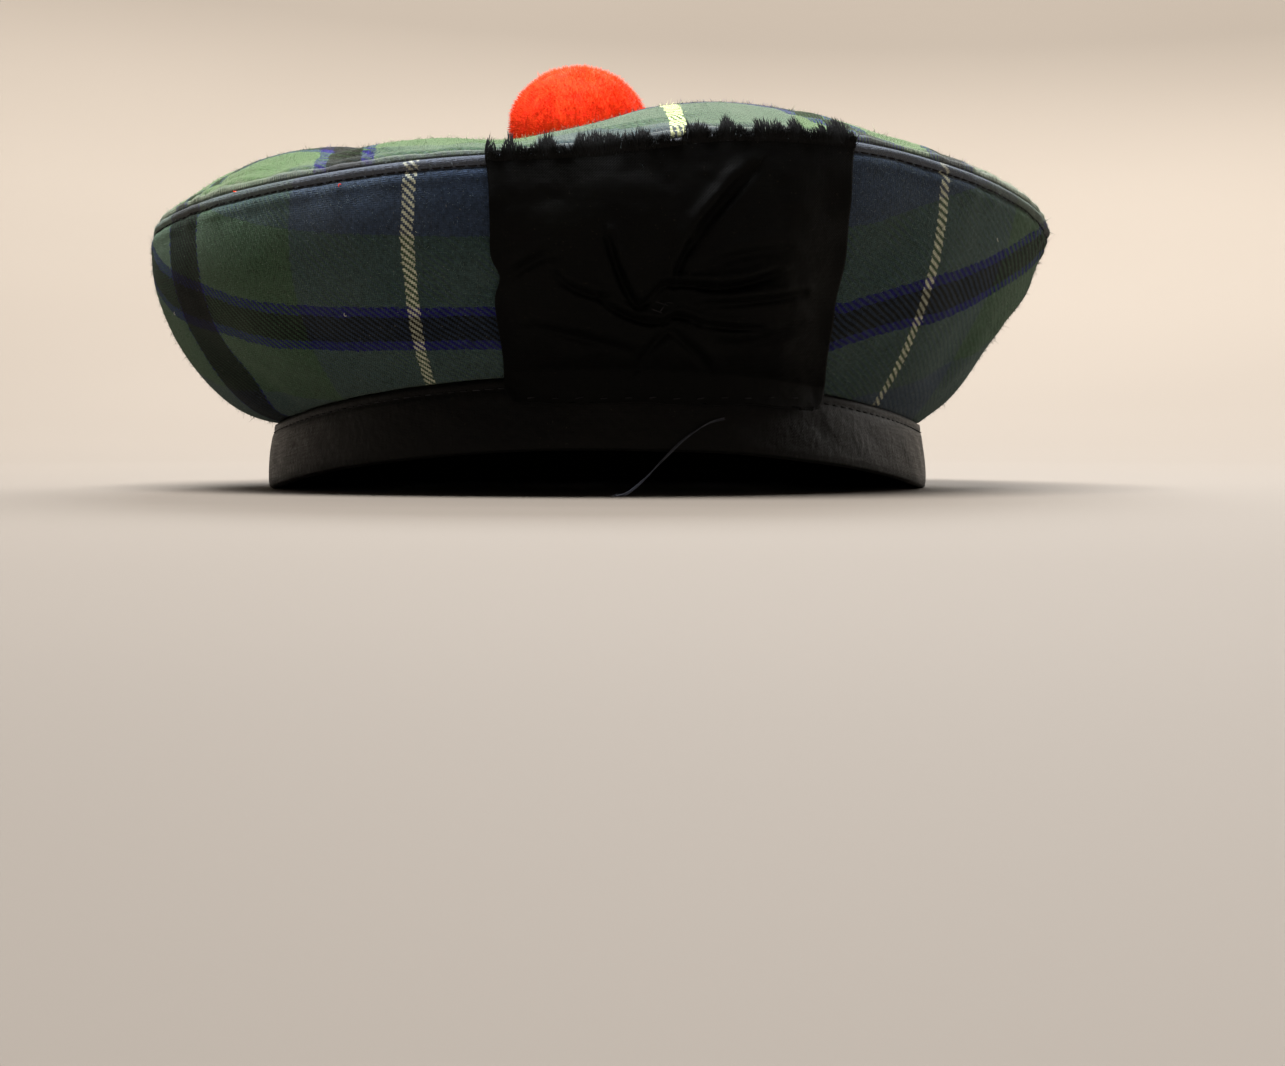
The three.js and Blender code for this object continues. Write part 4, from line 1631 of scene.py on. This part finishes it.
@dataclass
class Cockade:
    """A wide ribbon gathered by stitches near its middle, with a frayed top edge."""

    form: HatForm
    bottom_left: float = -21.0
    bottom_right: float = 50.5
    top_left: float = -24.5
    top_right: float = 57.0
    over_band: float = 6.0
    droop: float = 0.35
    fringe: float = 3.2
    over_seam: float = 1.6
    stand_off: float = 1.25
    thickness: float = 0.4
    pinch_x: float = 14.2
    pinch_z: float = 42.5
    boldness: float = 1.35
    fringe_threads: int = 2400
    tack_height: float = 22.2
    tack_every: float = 5.5
    stitch_radius: float = 0.15
    columns: int = 210
    rows: int = 170

    def _front(self, angles: Array, heights: Array) -> Array:
        """The hat's front: the band's, and the side piece's above it.

        Args:
            angles: Angles round the hat.
            heights: Heights there.

        Returns:
            The radius.
        """
        foot, tall = self.form.band_foot(angles), self.form.band_height(angles)
        band = self.form.band_radius(angles, np.clip((heights - foot) / tall, 0, 1)) + 0.55
        low, high = np.zeros_like(angles), np.ones_like(angles)
        for _ in range(18):
            middle = (low + high) / 2
            above = self.form.side(angles, middle)[1] > heights
            low, high = np.where(above, middle, low), np.where(above, high, middle)
        side = self.form.side(angles, low)[0]
        return np.where(heights <= foot + tall, band, np.maximum(side, band))

    def base(self, x: Array, up: Array) -> tuple[Array, Array, Array]:
        """Where the ribbon lies before it is gathered.

        Args:
            x: Places from side to side.
            up: Shares of the way from its lower edge to its frayed edge.

        Returns:
            The angle, the radius and the height there.
        """
        angles = np.degrees(np.arcsin(x / self.form.band_half_depth))
        for _ in range(10):
            level = self.form.band_top(np.zeros(1))[0]
            low = level + (self.form.band_top(angles) - level) * self.droop - self.over_band
            high = read_round(SEAM, "height", angles) + self.over_seam - self.fringe
            heights = low + (high - low) * up
            radius = self._front(angles, heights)
            angles = np.degrees(np.arcsin(x / radius))
        return angles, radius, heights

    def _edges(self, up: Array) -> tuple[Array, Array]:
        """The ribbon's two selvages.

        Args:
            up: Shares of its height.

        Returns:
            Where its left and its right edge are.
        """
        left = self.bottom_left + (self.top_left - self.bottom_left) * up
        left = left + 1.9 * dimple(up - 0.52, 0.06) + 2.4 * np.clip(1 - up / 0.08, 0, 1) ** 2
        left = left + 0.5 * np.sin(up * 9)
        right = self.bottom_right + (self.top_right - self.bottom_right) * up**0.8
        right = right - 1.0 * np.clip(1 - up / 0.05, 0, 1) ** 2 + 0.35 * np.sin(up * 11 + 1)
        return left, right

    def _gathers(self, x: Array, z: Array) -> tuple[Array, Array]:
        """How the ribbon stands out round its pinch.

        Args:
            x: Places from side to side.
            z: Their heights.

        Returns:
            How far it puffs out, and how far its folds stand out of that.
        """
        across, upward = x - self.pinch_x, z - self.pinch_z
        reach = np.hypot(across, upward * 1.15)
        puff = 2.2 * (1 - dimple(reach, 9.0)) + 0.6 * (1 - dimple(reach, 3.0))
        folds = np.zeros(across.shape)
        steps = np.linspace(0, 1, 14)
        for pleat in PLEATS:
            ends = [np.array(point) for point in (pleat.start, pleat.bend, pleat.end)]
            curve = [(1 - t) ** 2 * ends[0] + 2 * t * (1 - t) * ends[1] + t**2 * ends[2] for t in steps]
            best = np.full(across.shape, 1e9)
            signed, share = np.zeros(across.shape), np.zeros(across.shape)
            for k, (a, b) in enumerate(zip(curve[:-1], curve[1:])):
                run = b - a
                t = np.clip(((across - a[0]) * run[0] + (upward - a[1]) * run[1]) / (run @ run), 0, 1)
                off_x, off_z = across - a[0] - t * run[0], upward - a[1] - t * run[1]
                away = np.hypot(off_x, off_z)
                side = np.sign(run[0] * off_z - run[1] * off_x) * away
                closer = away < best
                best, signed = np.where(closer, away, best), np.where(closer, side, signed)
                share = np.where(closer, (k + t) / (len(steps) - 1), share)
            fade = np.sin(math.pi * (0.14 + 0.72 * share))
            lip = dimple(signed - 1.7 * pleat.width, 1.5 * pleat.width) * pleat.lip
            folds = folds + fade * self.boldness * (lip - pleat.depth * dimple(best, pleat.width))
        return puff, folds

    def face(self) -> tuple[Array, Array]:
        """Works out the ribbon's front.

        Returns:
            The face and its cloth coordinates.
        """
        across = np.linspace(0, 1, self.columns)[:, None]
        up = np.linspace(0, 1, self.rows)[None]
        left, right = self._edges(up)
        x = left + (right - left) * across
        up = np.broadcast_to(up, x.shape)
        wave = 0.008 * np.sin(across * 17 + 1) * (1 - up)
        angles, radius, heights = self.base(x, np.clip(up + wave, 0, None))
        edge = np.minimum(x - left, right - x)
        lower, upper = up * 60, (1 - up) * 60
        held = smooth(edge / 7) * smooth(lower / 7) * smooth(upper / 8)
        puffed = smooth(edge / 15) * smooth(lower / 14) * smooth(upper / 34)
        puff, folds = self._gathers(x, heights)
        crumple = swelling(CRUMPLES, stacked(x, heights, 0))
        curl = 0.5 * dimple(edge, 1.6) * (0.5 + 0.5 * np.sin(up * 25))
        flush = 1 - 0.25 * smooth((up - 0.86) / 0.14)
        gathers = np.maximum(puff * puffed + folds * held, -0.2)
        out = self.stand_off * flush + gathers + crumple * (0.3 + 0.7 * held) + curl * flush
        return place(angles, radius + out, heights), stacked(x, heights)

    def build(
        self, ribbon: Material, ends: Material, thread: Material
    ) -> None:
        """Makes the ribbon, its frayed edge and its gathering stitches.

        Args:
            ribbon: The ribbon's finish.
            ends: The finish of its frayed threads.
            thread: The finish of its stitches.
        """
        front, flat = self.face()
        normals = lattice_normals(front, False)
        normals *= -np.sign(normals[..., 1].mean())
        back = front - normals * self.thickness
        gathered = sheet_surface(front, back, flat).made("cockade_ribbon", ribbon, Slot.RIBBON)
        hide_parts("cockade")
        fringe = self._fringe(front, ends)
        self._stitch(front, thread)

    def _fringe(self, front: Array, thread: Material) -> bpy.types.Object:
        """Frays the top edge into single threads.

        Args:
            front: The ribbon's front face.
            thread: The threads' finish.

        Returns:
            The fringe.
        """
        rng = np.random.default_rng(41)
        count = self.fringe_threads
        across = np.sort(rng.random(count)) * (self.columns - 1)
        column = np.clip(across.astype(int), 0, self.columns - 2)
        part = (across - column)[:, None]
        row = self.rows - 1 - rng.integers(0, 3, count)
        root = front[column, row] * (1 - part) + front[column + 1, row] * part
        edge = front[column, -1] * (1 - part) + front[column + 1, -1] * part
        along = stacked(across * 0.39, 0, 0)
        clump = soft_noise(along, 2.6, 42) + 0.5 * soft_noise(along, 1.2, 44)
        length = self.fringe * (1.0 + 1.0 * clump) + rng.normal(0, 0.7, count)
        length = np.clip(length, 0.4, 7.5)
        lean = soft_noise(along + [0, 9, 0], 2.0, 43) * 1.1 + rng.normal(0, 0.35, count)
        angle = np.degrees(np.arctan2(edge[:, 0], -edge[:, 1]))
        seam_z = read_round(SEAM, "height", angle)
        seam_r = read_round(SEAM, "radius", angle)
        out = rng.uniform(0.1, 1.3, count)
        bend = rng.normal(0, 0.16, count)
        paths = [root]
        for share in (0.0, 0.3, 0.55, 0.8, 1.0):
            height = edge[:, 2] + length * share
            over = np.clip(height - seam_z - 0.5, 0, None)
            radius = np.maximum(np.hypot(edge[:, 0], edge[:, 1]), seam_r + 0.5)
            radius = radius + out * share - over * 0.5
            sway = lean * share**1.6 + bend * math.sin(share * math.pi * 1.5)
            paths.append(place(angle + np.degrees(sway / radius), radius, height - over * 0.2))
        paths = np.stack(paths, axis=1)
        radii = np.array([0.1, 0.11, 0.11, 0.1, 0.08]) * rng.uniform(0.75, 1.25, (count, 1))
        cloth = stacked(across * 3.1, length)
        return strand_surface(paths, radii, cloth).made("cockade_fringe", thread, Slot.RIBBON)

    def _stitch(self, front: Array, thread: Material) -> None:
        """Sews the gathers down at the pinch, and tacks the lower edge to the band.

        Args:
            front: The ribbon's front face.
            thread: The thread's finish.
        """
        def nearest(x: float, z: float) -> Array:
            """The place on the ribbon's face that is nearest to one seen from the front."""
            away = (front[..., 0] - x) ** 2 + (front[..., 2] - z) ** 2
            return front.reshape(-1, 3)[int(away.argmin())]

        pinch = np.array([self.pinch_x, self.pinch_z] * 2)
        bars = [pinch + bar for bar in PINCH_STITCHES]
        tacks = np.arange(-16, 48, self.tack_every)
        bars += [(x, self.tack_height, x + 1.7, self.tack_height + 0.2) for x in tacks]
        paths = []
        for x0, z0, x1, z1 in bars:
            start, end = nearest(x0, z0), nearest(x1, z1)
            shares = np.array([0, 0.12, 0.5, 0.88, 1])[:, None]
            lift = np.array([-0.5, 0.12, 0.3, 0.12, -0.5])[:, None]
            paths.append(start + (end - start) * shares + np.array([0, -1, 0]) * lift)
        cloth = stacked(np.arange(len(bars)) * 5.1, 0)
        stitches = strand_surface(np.array(paths), np.full(4, self.stitch_radius), cloth, sides=5)
        stitches.made("cockade_stitches", thread, Slot.RIBBON)


# ---------------------------------------------------------------------------------------------
# The pompom and the loose bits


@dataclass
class Pompom:
    """A clipped ball of wool yarn, the size of its node in the frame."""

    strands: int = 44000
    core_share: float = 0.965
    core_columns: int = 120
    core_rows: int = 60
    root_share: float = 0.91
    stray_share: float = 0.02
    seed: int = 51

    def build(self, wool: Material) -> None:
        """Makes the ball's felted body and its yarn ends.

        Args:
            wool: Their finish.
        """
        low, high = (np.array(corner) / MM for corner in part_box("pompom"))
        centre, half = (low + high) / 2, (high - low) / 2
        self._core(centre, half * self.core_share, wool)
        self._tufts(centre, half, wool)

    def _core(self, centre: Array, half: Array, wool: Material) -> None:
        """Makes the dense middle of the ball.

        Args:
            centre: The ball's middle.
            half: Half its size.
            wool: Its finish.
        """
        columns, rows = self.core_columns, self.core_rows
        around = np.linspace(-180, 180, columns, endpoint=False)[:, None]
        up = np.linspace(-90, 90, rows + 2)[None, 1:-1][:, ::-1]
        way = place(around, np.cos(np.radians(up)), np.sin(np.radians(up)))
        lumps = 1 + 0.014 * soft_noise(way * 20, 5, 52) + 0.006 * soft_noise(way * 20, 1.5, 53)
        outer = centre + way * half * lumps[..., None]
        pole = np.array([0, 0, half[2]])
        number = np.arange(columns * rows).reshape(columns, rows)
        after = np.roll(number, -1, axis=0)
        quads = ring_quads(number)
        points = np.concatenate([outer.reshape(-1, 3), [centre + pole, centre - pole]])
        top, bottom = columns * rows, columns * rows + 1
        fans = np.concatenate([
            np.stack([number[:, 0], after[:, 0], np.full(columns, top)], axis=1),
            np.stack([after[:, -1], number[:, -1], np.full(columns, bottom)], axis=1),
        ])
        flat = points[:, :2]
        ball = Surface(points, [quads, fans], [flat[quads], flat[fans]])
        core = ball.made("pompom_core", wool, Slot.POMPOM)
        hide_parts("pompom")

    def _tufts(self, centre: Array, half: Array, wool: Material) -> None:
        """Makes the yarn ends that stand out of the ball.

        Args:
            centre: The ball's middle.
            half: Half its size.
            wool: Their finish.
        """
        rng = np.random.default_rng(self.seed)
        number = np.arange(self.strands) + 0.5
        up = 1 - 2 * number / self.strands
        turn = number * math.pi * (3 - math.sqrt(5))
        flat = np.sqrt(1 - up**2)
        way = stacked(flat * np.cos(turn), flat * np.sin(turn), up)
        way = unit(way + rng.normal(0, 0.02, way.shape))
        tuft = np.stack([soft_noise(way * 20, 2.6, 54 + k) for k in range(3)], axis=1)
        reach = 0.995 + 0.012 * soft_noise(way * 20, 5.5, 58) + 0.006 * soft_noise(way * 20, 1.6, 59)
        reach = (reach + rng.normal(0, 0.008, self.strands))[:, None]
        swirl = unit(rng.normal(size=way.shape)) * 0.045 + tuft * 0.012
        roots = centre + way * half * self.root_share
        paths = np.stack([roots, centre + (way + swirl) * half * reach], axis=1)
        stray = rng.random(self.strands) < self.stray_share
        paths[stray, 1] += way[stray] * rng.uniform(0.2, 1.1, (stray.sum(), 1))
        radii = rng.uniform(0.11, 0.17, (self.strands, 1))
        cloth = rng.uniform(0, 90, (self.strands, 2))
        strand_surface(paths, radii, cloth).made("pompom_tufts", wool, Slot.POMPOM)


@dataclass
class LooseBits:
    """A loose thread that hangs from the cockade, and lint on the crown."""

    crown: Crown
    thread_radius: float = 0.15
    wisp_radius: float = 0.06
    lint_radius: float = 0.09

    def thread(self, finish: Material) -> None:
        """Hangs the loose double thread from below the cockade down to the table.

        Args:
            finish: The thread's finish.
        """
        form = self.crown.form
        angle = np.array([math.degrees(math.asin(29.5 / form.band_half_depth))])
        radius = float(form.band_radius(angle, 0.8)[0]) + 0.9
        start = place(angle, np.array([radius]), np.array([17.6]))[0]
        knots = np.array([
            start + [0.6, 1.3, 0.5], start, start + [-4.2, -2.4, -1.2], start + [-9.5, -4.2, -4.6],
            start + [-14.0, -5.6, -9.0], start + [-18.5, -8.6, -13.4], start + [-22.6, -12.6, -16.6],
            start + [-24.8, -14.8, -17.1],
        ])
        line = smooth_line(knots, 46)
        turn = np.linspace(0, 9, len(line))
        along = unit(np.gradient(line, axis=0))
        side = unit(np.cross(along, [0.0, 0.0, 1.0]))
        lift = np.cross(side, along)
        strands = []
        for phase in (0.0, math.pi):
            gap = 0.17 + 0.12 * np.sin(turn * 0.7 + phase)
            wound = side * np.cos(turn + phase)[:, None] + lift * np.sin(turn + phase)[:, None]
            strands.append(line + wound * gap[:, None])
        paths = np.stack(strands)
        paths[..., 2] = np.maximum(paths[..., 2], 0.2)
        cloth = np.array([[3.0, 0.0], [9.0, 0.0]])
        pair = strand_surface(paths, np.full(len(line) - 1, self.thread_radius), cloth, sides=6)
        rng = np.random.default_rng(61)
        ends = np.repeat(paths[:, -1], 5, axis=0)
        spread = unit(along[-1] + rng.normal(0, 0.5, ends.shape)) * rng.uniform(0.8, 1.9, (len(ends), 1))
        wisps = np.stack([ends - along[-1] * 0.6, ends + spread * 0.5, ends + spread], axis=1)
        wisps[..., 2] = np.maximum(wisps[..., 2], 0.1)
        tail = strand_surface(wisps, np.full(2, self.wisp_radius), np.full((len(ends), 2), 5.0))
        Surface.joined([pair, tail]).made("loose_thread", finish, Slot.RIBBON)

    def lint(self, name: str, rows: Sequence[Fibre], finish: Material, seed: int) -> None:
        """Leaves small curled fibres on the side piece.

        Args:
            name: The new piece's name.
            rows: The fibres.
            finish: The fibres' finish.
            seed: How they curl.
        """
        rng = np.random.default_rng(seed)
        outer, normals = self.crown.side_outer, self.crown.side_normals
        paths = []
        for fibre in rows:
            column = int(round((fibre.angle + 180) / 360 * self.crown.columns)) % self.crown.columns
            root, up = outer[column, fibre.row], normals[column, fibre.row]
            way = unit(np.cross(up, unit(rng.normal(size=3))))
            bend = np.cross(up, way)
            turn = np.linspace(0, rng.uniform(2.5, 5.0), 9)[:, None]
            curl = way * np.sin(turn) + bend * (1 - np.cos(turn))
            paths.append(root + up * (0.12 + 0.25 * np.sin(turn) ** 2) + curl * fibre.length / turn[-1, 0])
        cloth = rng.uniform(0, 50, (len(rows), 2))
        fibres = strand_surface(np.array(paths), np.full(8, self.lint_radius), cloth, sides=4)
        fibres.made(name, finish, Slot.TARTAN)


def smooth_line(knots: Array, count: int) -> Array:
    """A smooth line through points.

    Args:
        knots: The points that it passes through.
        count: How many points the line gets.

    Returns:
        The line's points.
    """
    padded = np.concatenate([2 * knots[:1] - knots[1:2], knots, 2 * knots[-1:] - knots[-2:-1]])
    place_at = np.linspace(0, len(knots) - 1 - 1e-9, count)
    i = place_at.astype(int)
    u = (place_at - i)[:, None]
    a, b, c, d = padded[i], padded[i + 1], padded[i + 2], padded[i + 3]
    return 0.5 * (2 * b + (c - a) * u + (2 * a - 5 * b + 4 * c - d) * u**2 + (3 * b - a - 3 * c + d) * u**3)


# ---------------------------------------------------------------------------------------------
# The studio


class Lamp(NamedTuple):
    """A soft lamp: where it hangs, its width and height, its watts, its colour and what it faces."""

    name: str
    at: tuple
    size: tuple
    power: float
    shade: tuple
    target: tuple = (0, 0, 0.06)


LAMPS = (
    Lamp("overhead", (-0.15, -0.3, 1.4), (1.1, 0.45), 65, (0.97, 0.98, 1.0)),
    Lamp("rim", (0.25, 1.35, 0.95), (1.2, 0.5), 32, (1.0, 0.99, 0.97)),
    Lamp("side_fill", (1.1, 0.6, 0.45), (0.5, 0.4), 4, (1.0, 0.98, 0.94)),
    Lamp("backdrop_0", (-0.9, 1.2, 2.0), (1.2, 0.8), 87, (1.0, 0.98, 0.95), (-1.2, 2.7, 0.5)),
    Lamp("backdrop_2", (0.9, 1.2, 2.0), (1.2, 0.8), 87, (1.0, 0.98, 0.95), (1.2, 2.7, 0.5)),
)


@dataclass(frozen=True)
class Studio:
    """The camera, a pale table that turns up into a wall all round, and soft light."""

    distance: float = 0.75
    eye_height: float = 0.018
    lens: float = 81.44
    sensor: float = 36.0
    look_down: float = 2.285
    look_right: float = 0.877
    floor_flat: float = 0.5
    floor_turn: float = 2.6
    wall_to: float = 3.4
    table_columns: int = 96
    room_shade: tuple = colour(196, 214, 236)
    room_light: float = 0.1
    table_shade: tuple = colour(113, 105, 96)
    table_blotch: tuple = colour(108, 100, 91)

    def camera(self) -> None:
        """Places the camera just above the table, in front of the cockade."""
        data = bpy.data.cameras.new("camera")
        data.lens, data.sensor_width = self.lens, self.sensor
        data.clip_start, data.clip_end = 0.01, 50
        camera = bpy.data.objects.new("camera", data)
        camera.location = (0, -self.distance, self.eye_height)
        camera.rotation_euler = Euler((math.radians(90 - self.look_down), 0, math.radians(-self.look_right)))
        bpy.context.scene.collection.objects.link(camera)
        bpy.context.scene.camera = camera

    def table(self) -> None:
        """Makes the table and the wall that it turns up into."""
        turn = np.linspace(0, math.pi / 2, 24)[1:]
        bend = self.floor_flat + self.floor_turn * np.sin(turn)
        radius = np.concatenate([[0.25, 0.4, self.floor_flat], bend, bend[-1:]])
        height = np.concatenate([[0, 0, 0], self.floor_turn * (1 - np.cos(turn)), [self.wall_to]])
        angles = np.linspace(-180, 180, self.table_columns, endpoint=False)[:, None]
        points = place(angles, radius[None], height[None]).reshape(-1, 3)
        number = np.arange(self.table_columns * len(radius)).reshape(self.table_columns, -1)
        middle = np.roll(number[:, 0], -1).tolist()
        mesh = bpy.data.meshes.new("table")
        mesh.from_pydata(points.tolist(), [], [middle] + ring_quads(number).tolist())
        mesh.shade_smooth()
        paint = {"Roughness": 0.8, "Specular IOR Level": 0.15}
        material, graph, inputs = new_material("painted_table", paint)
        blotch = graph.noise(graph.add("ShaderNodeTexCoord").outputs["Object"], 1.3, 2.0)
        mottled = graph.mix(graph.limits(blotch, 0.3, 0.7), self.table_shade, self.table_blotch)
        graph.feed(inputs["Base Color"], mottled)
        mesh.materials.append(material)
        table = bpy.data.objects.new("table", mesh)
        bpy.context.scene.collection.objects.link(table)

    def hang(self, lamp: Lamp) -> None:
        """Hangs a soft lamp.

        Args:
            lamp: The lamp's row.
        """
        data = bpy.data.lights.new(lamp.name, "AREA")
        data.shape, data.size, data.size_y = "RECTANGLE", *lamp.size
        data.energy, data.color = lamp.power, lamp.shade
        hung = bpy.data.objects.new(lamp.name, data)
        hung.location = lamp.at
        aim = np.array(lamp.target) - np.array(lamp.at)
        tilt = math.atan2(math.hypot(aim[0], aim[1]), -aim[2])
        hung.rotation_euler = Euler((tilt, 0, math.atan2(-aim[0], aim[1])))
        bpy.context.scene.collection.objects.link(hung)

    def light(self) -> None:
        """Lights the hat from above and a little behind, with a weak fill from the right and a dim room
        light.
        """
        world = bpy.data.worlds.new("room")
        world.use_nodes = True
        background = world.node_tree.nodes["Background"]
        background.inputs[0].default_value = self.room_shade
        background.inputs[1].default_value = self.room_light
        bpy.context.scene.world = world
        for lamp in LAMPS:
            self.hang(lamp)
        bpy.context.scene.view_settings.view_transform = "Standard"


def main() -> None:
    """Builds the studio and the hat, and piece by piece."""
    logging.basicConfig(level=logging.INFO, format="%(name)s %(message)s")
    studio = Studio()
    studio.camera()
    studio.table()
    studio.light()
    close_weft = Stripes(4.2, 6.8, 27.5, 63.6, 64.8)
    side_warp = Stripes(8.2, 8.6, 43.0, 72.7, 74.0)
    # The side piece's copy of the cloth is painted darker by its lift, as painted shade.
    side = TartanWool(
        "side_tartan", warp_start=32.0, weft_start=224.0, warp=side_warp, weft=close_weft, lift=0.85
    )
    # The top piece's copy is painted lighter and yellower by its tint, as painted light from above.
    top = TartanWool(
        "top_tartan", warp_start=87.0, weft_start=-72.5, weft=Stripes(4.2, 7.8, 38.5, 72.2, 74.0),
        warp_pull=0.85, weft_pull=0.6, sheen=0.5, tint_and_painted_light=(1.18, 1.22, 0.78, 1.0),
        sheen_tint=colour(232, 236, 204),
    )
    side_wool, top_wool = side.material(), top.material()
    # The fuzz copies are painted lighter, as painted light shining through the fibres.
    side_fuzz_painted_lit = replace(side, name="side_fuzz_painted_lit", lift=1.5, sheen=0.6).material()
    top_fuzz_painted_lit = replace(top, name="top_fuzz_painted_lit", lift=1.5, sheen=0.6).material()
    binding = BlackRibbon(
        "binding_satin", colour(6, 6, 7), colour(21, 20, 17), thread=0.35,
        roughness=0.45, sheen=0.015, specular=0.1, relief=0.05,
    ).material()
    silk = BlackRibbon(
        "cockade_silk", colour(4, 4, 4), colour(13, 14, 11), thread=0.3,
        roughness=0.42, sheen=0.0, specular=0.058, relief=0.08,
    ).material()
    silk_ends = Yarn("silk_ends", colour(4, 4, 4), colour(13, 13, 13), roughness=0.8, sheen=0.0).material()
    black_thread = Yarn("black_thread", colour(14, 14, 15), colour(46, 46, 50), sheen=0.2).material()
    # The pompom's yarn has a painted glow.
    red_wool = Yarn("pompom_yarn", colour(238, 38, 10), colour(252, 68, 14), sheen=0.05, painted_glow=0.1).material()
    grey_thread = Yarn("grey_thread", colour(48, 50, 58), colour(82, 84, 92), sheen=0.2).material()
    white_lint = Yarn("white_lint", colour(190, 188, 176), colour(226, 224, 214)).material()
    form = HatForm()
    crown = Crown(form, SeamWelt())
    crown.build(side_wool, top_wool)
    crown.build_nap(side_fuzz_painted_lit, top_fuzz_painted_lit)
    crown.build_stitches(black_thread)
    Headband(form).build(binding, black_thread)
    Cockade(form).build(silk, silk_ends, black_thread)
    Pompom().build(red_wool)
    bits = LooseBits(crown)
    bits.thread(grey_thread)
    bits.lint("orange_lint", ORANGE_LINT, red_wool, 71)
    bits.lint("pale_lint", PALE_LINT, white_lint, 72)


if __name__ == "__main__":
    main()
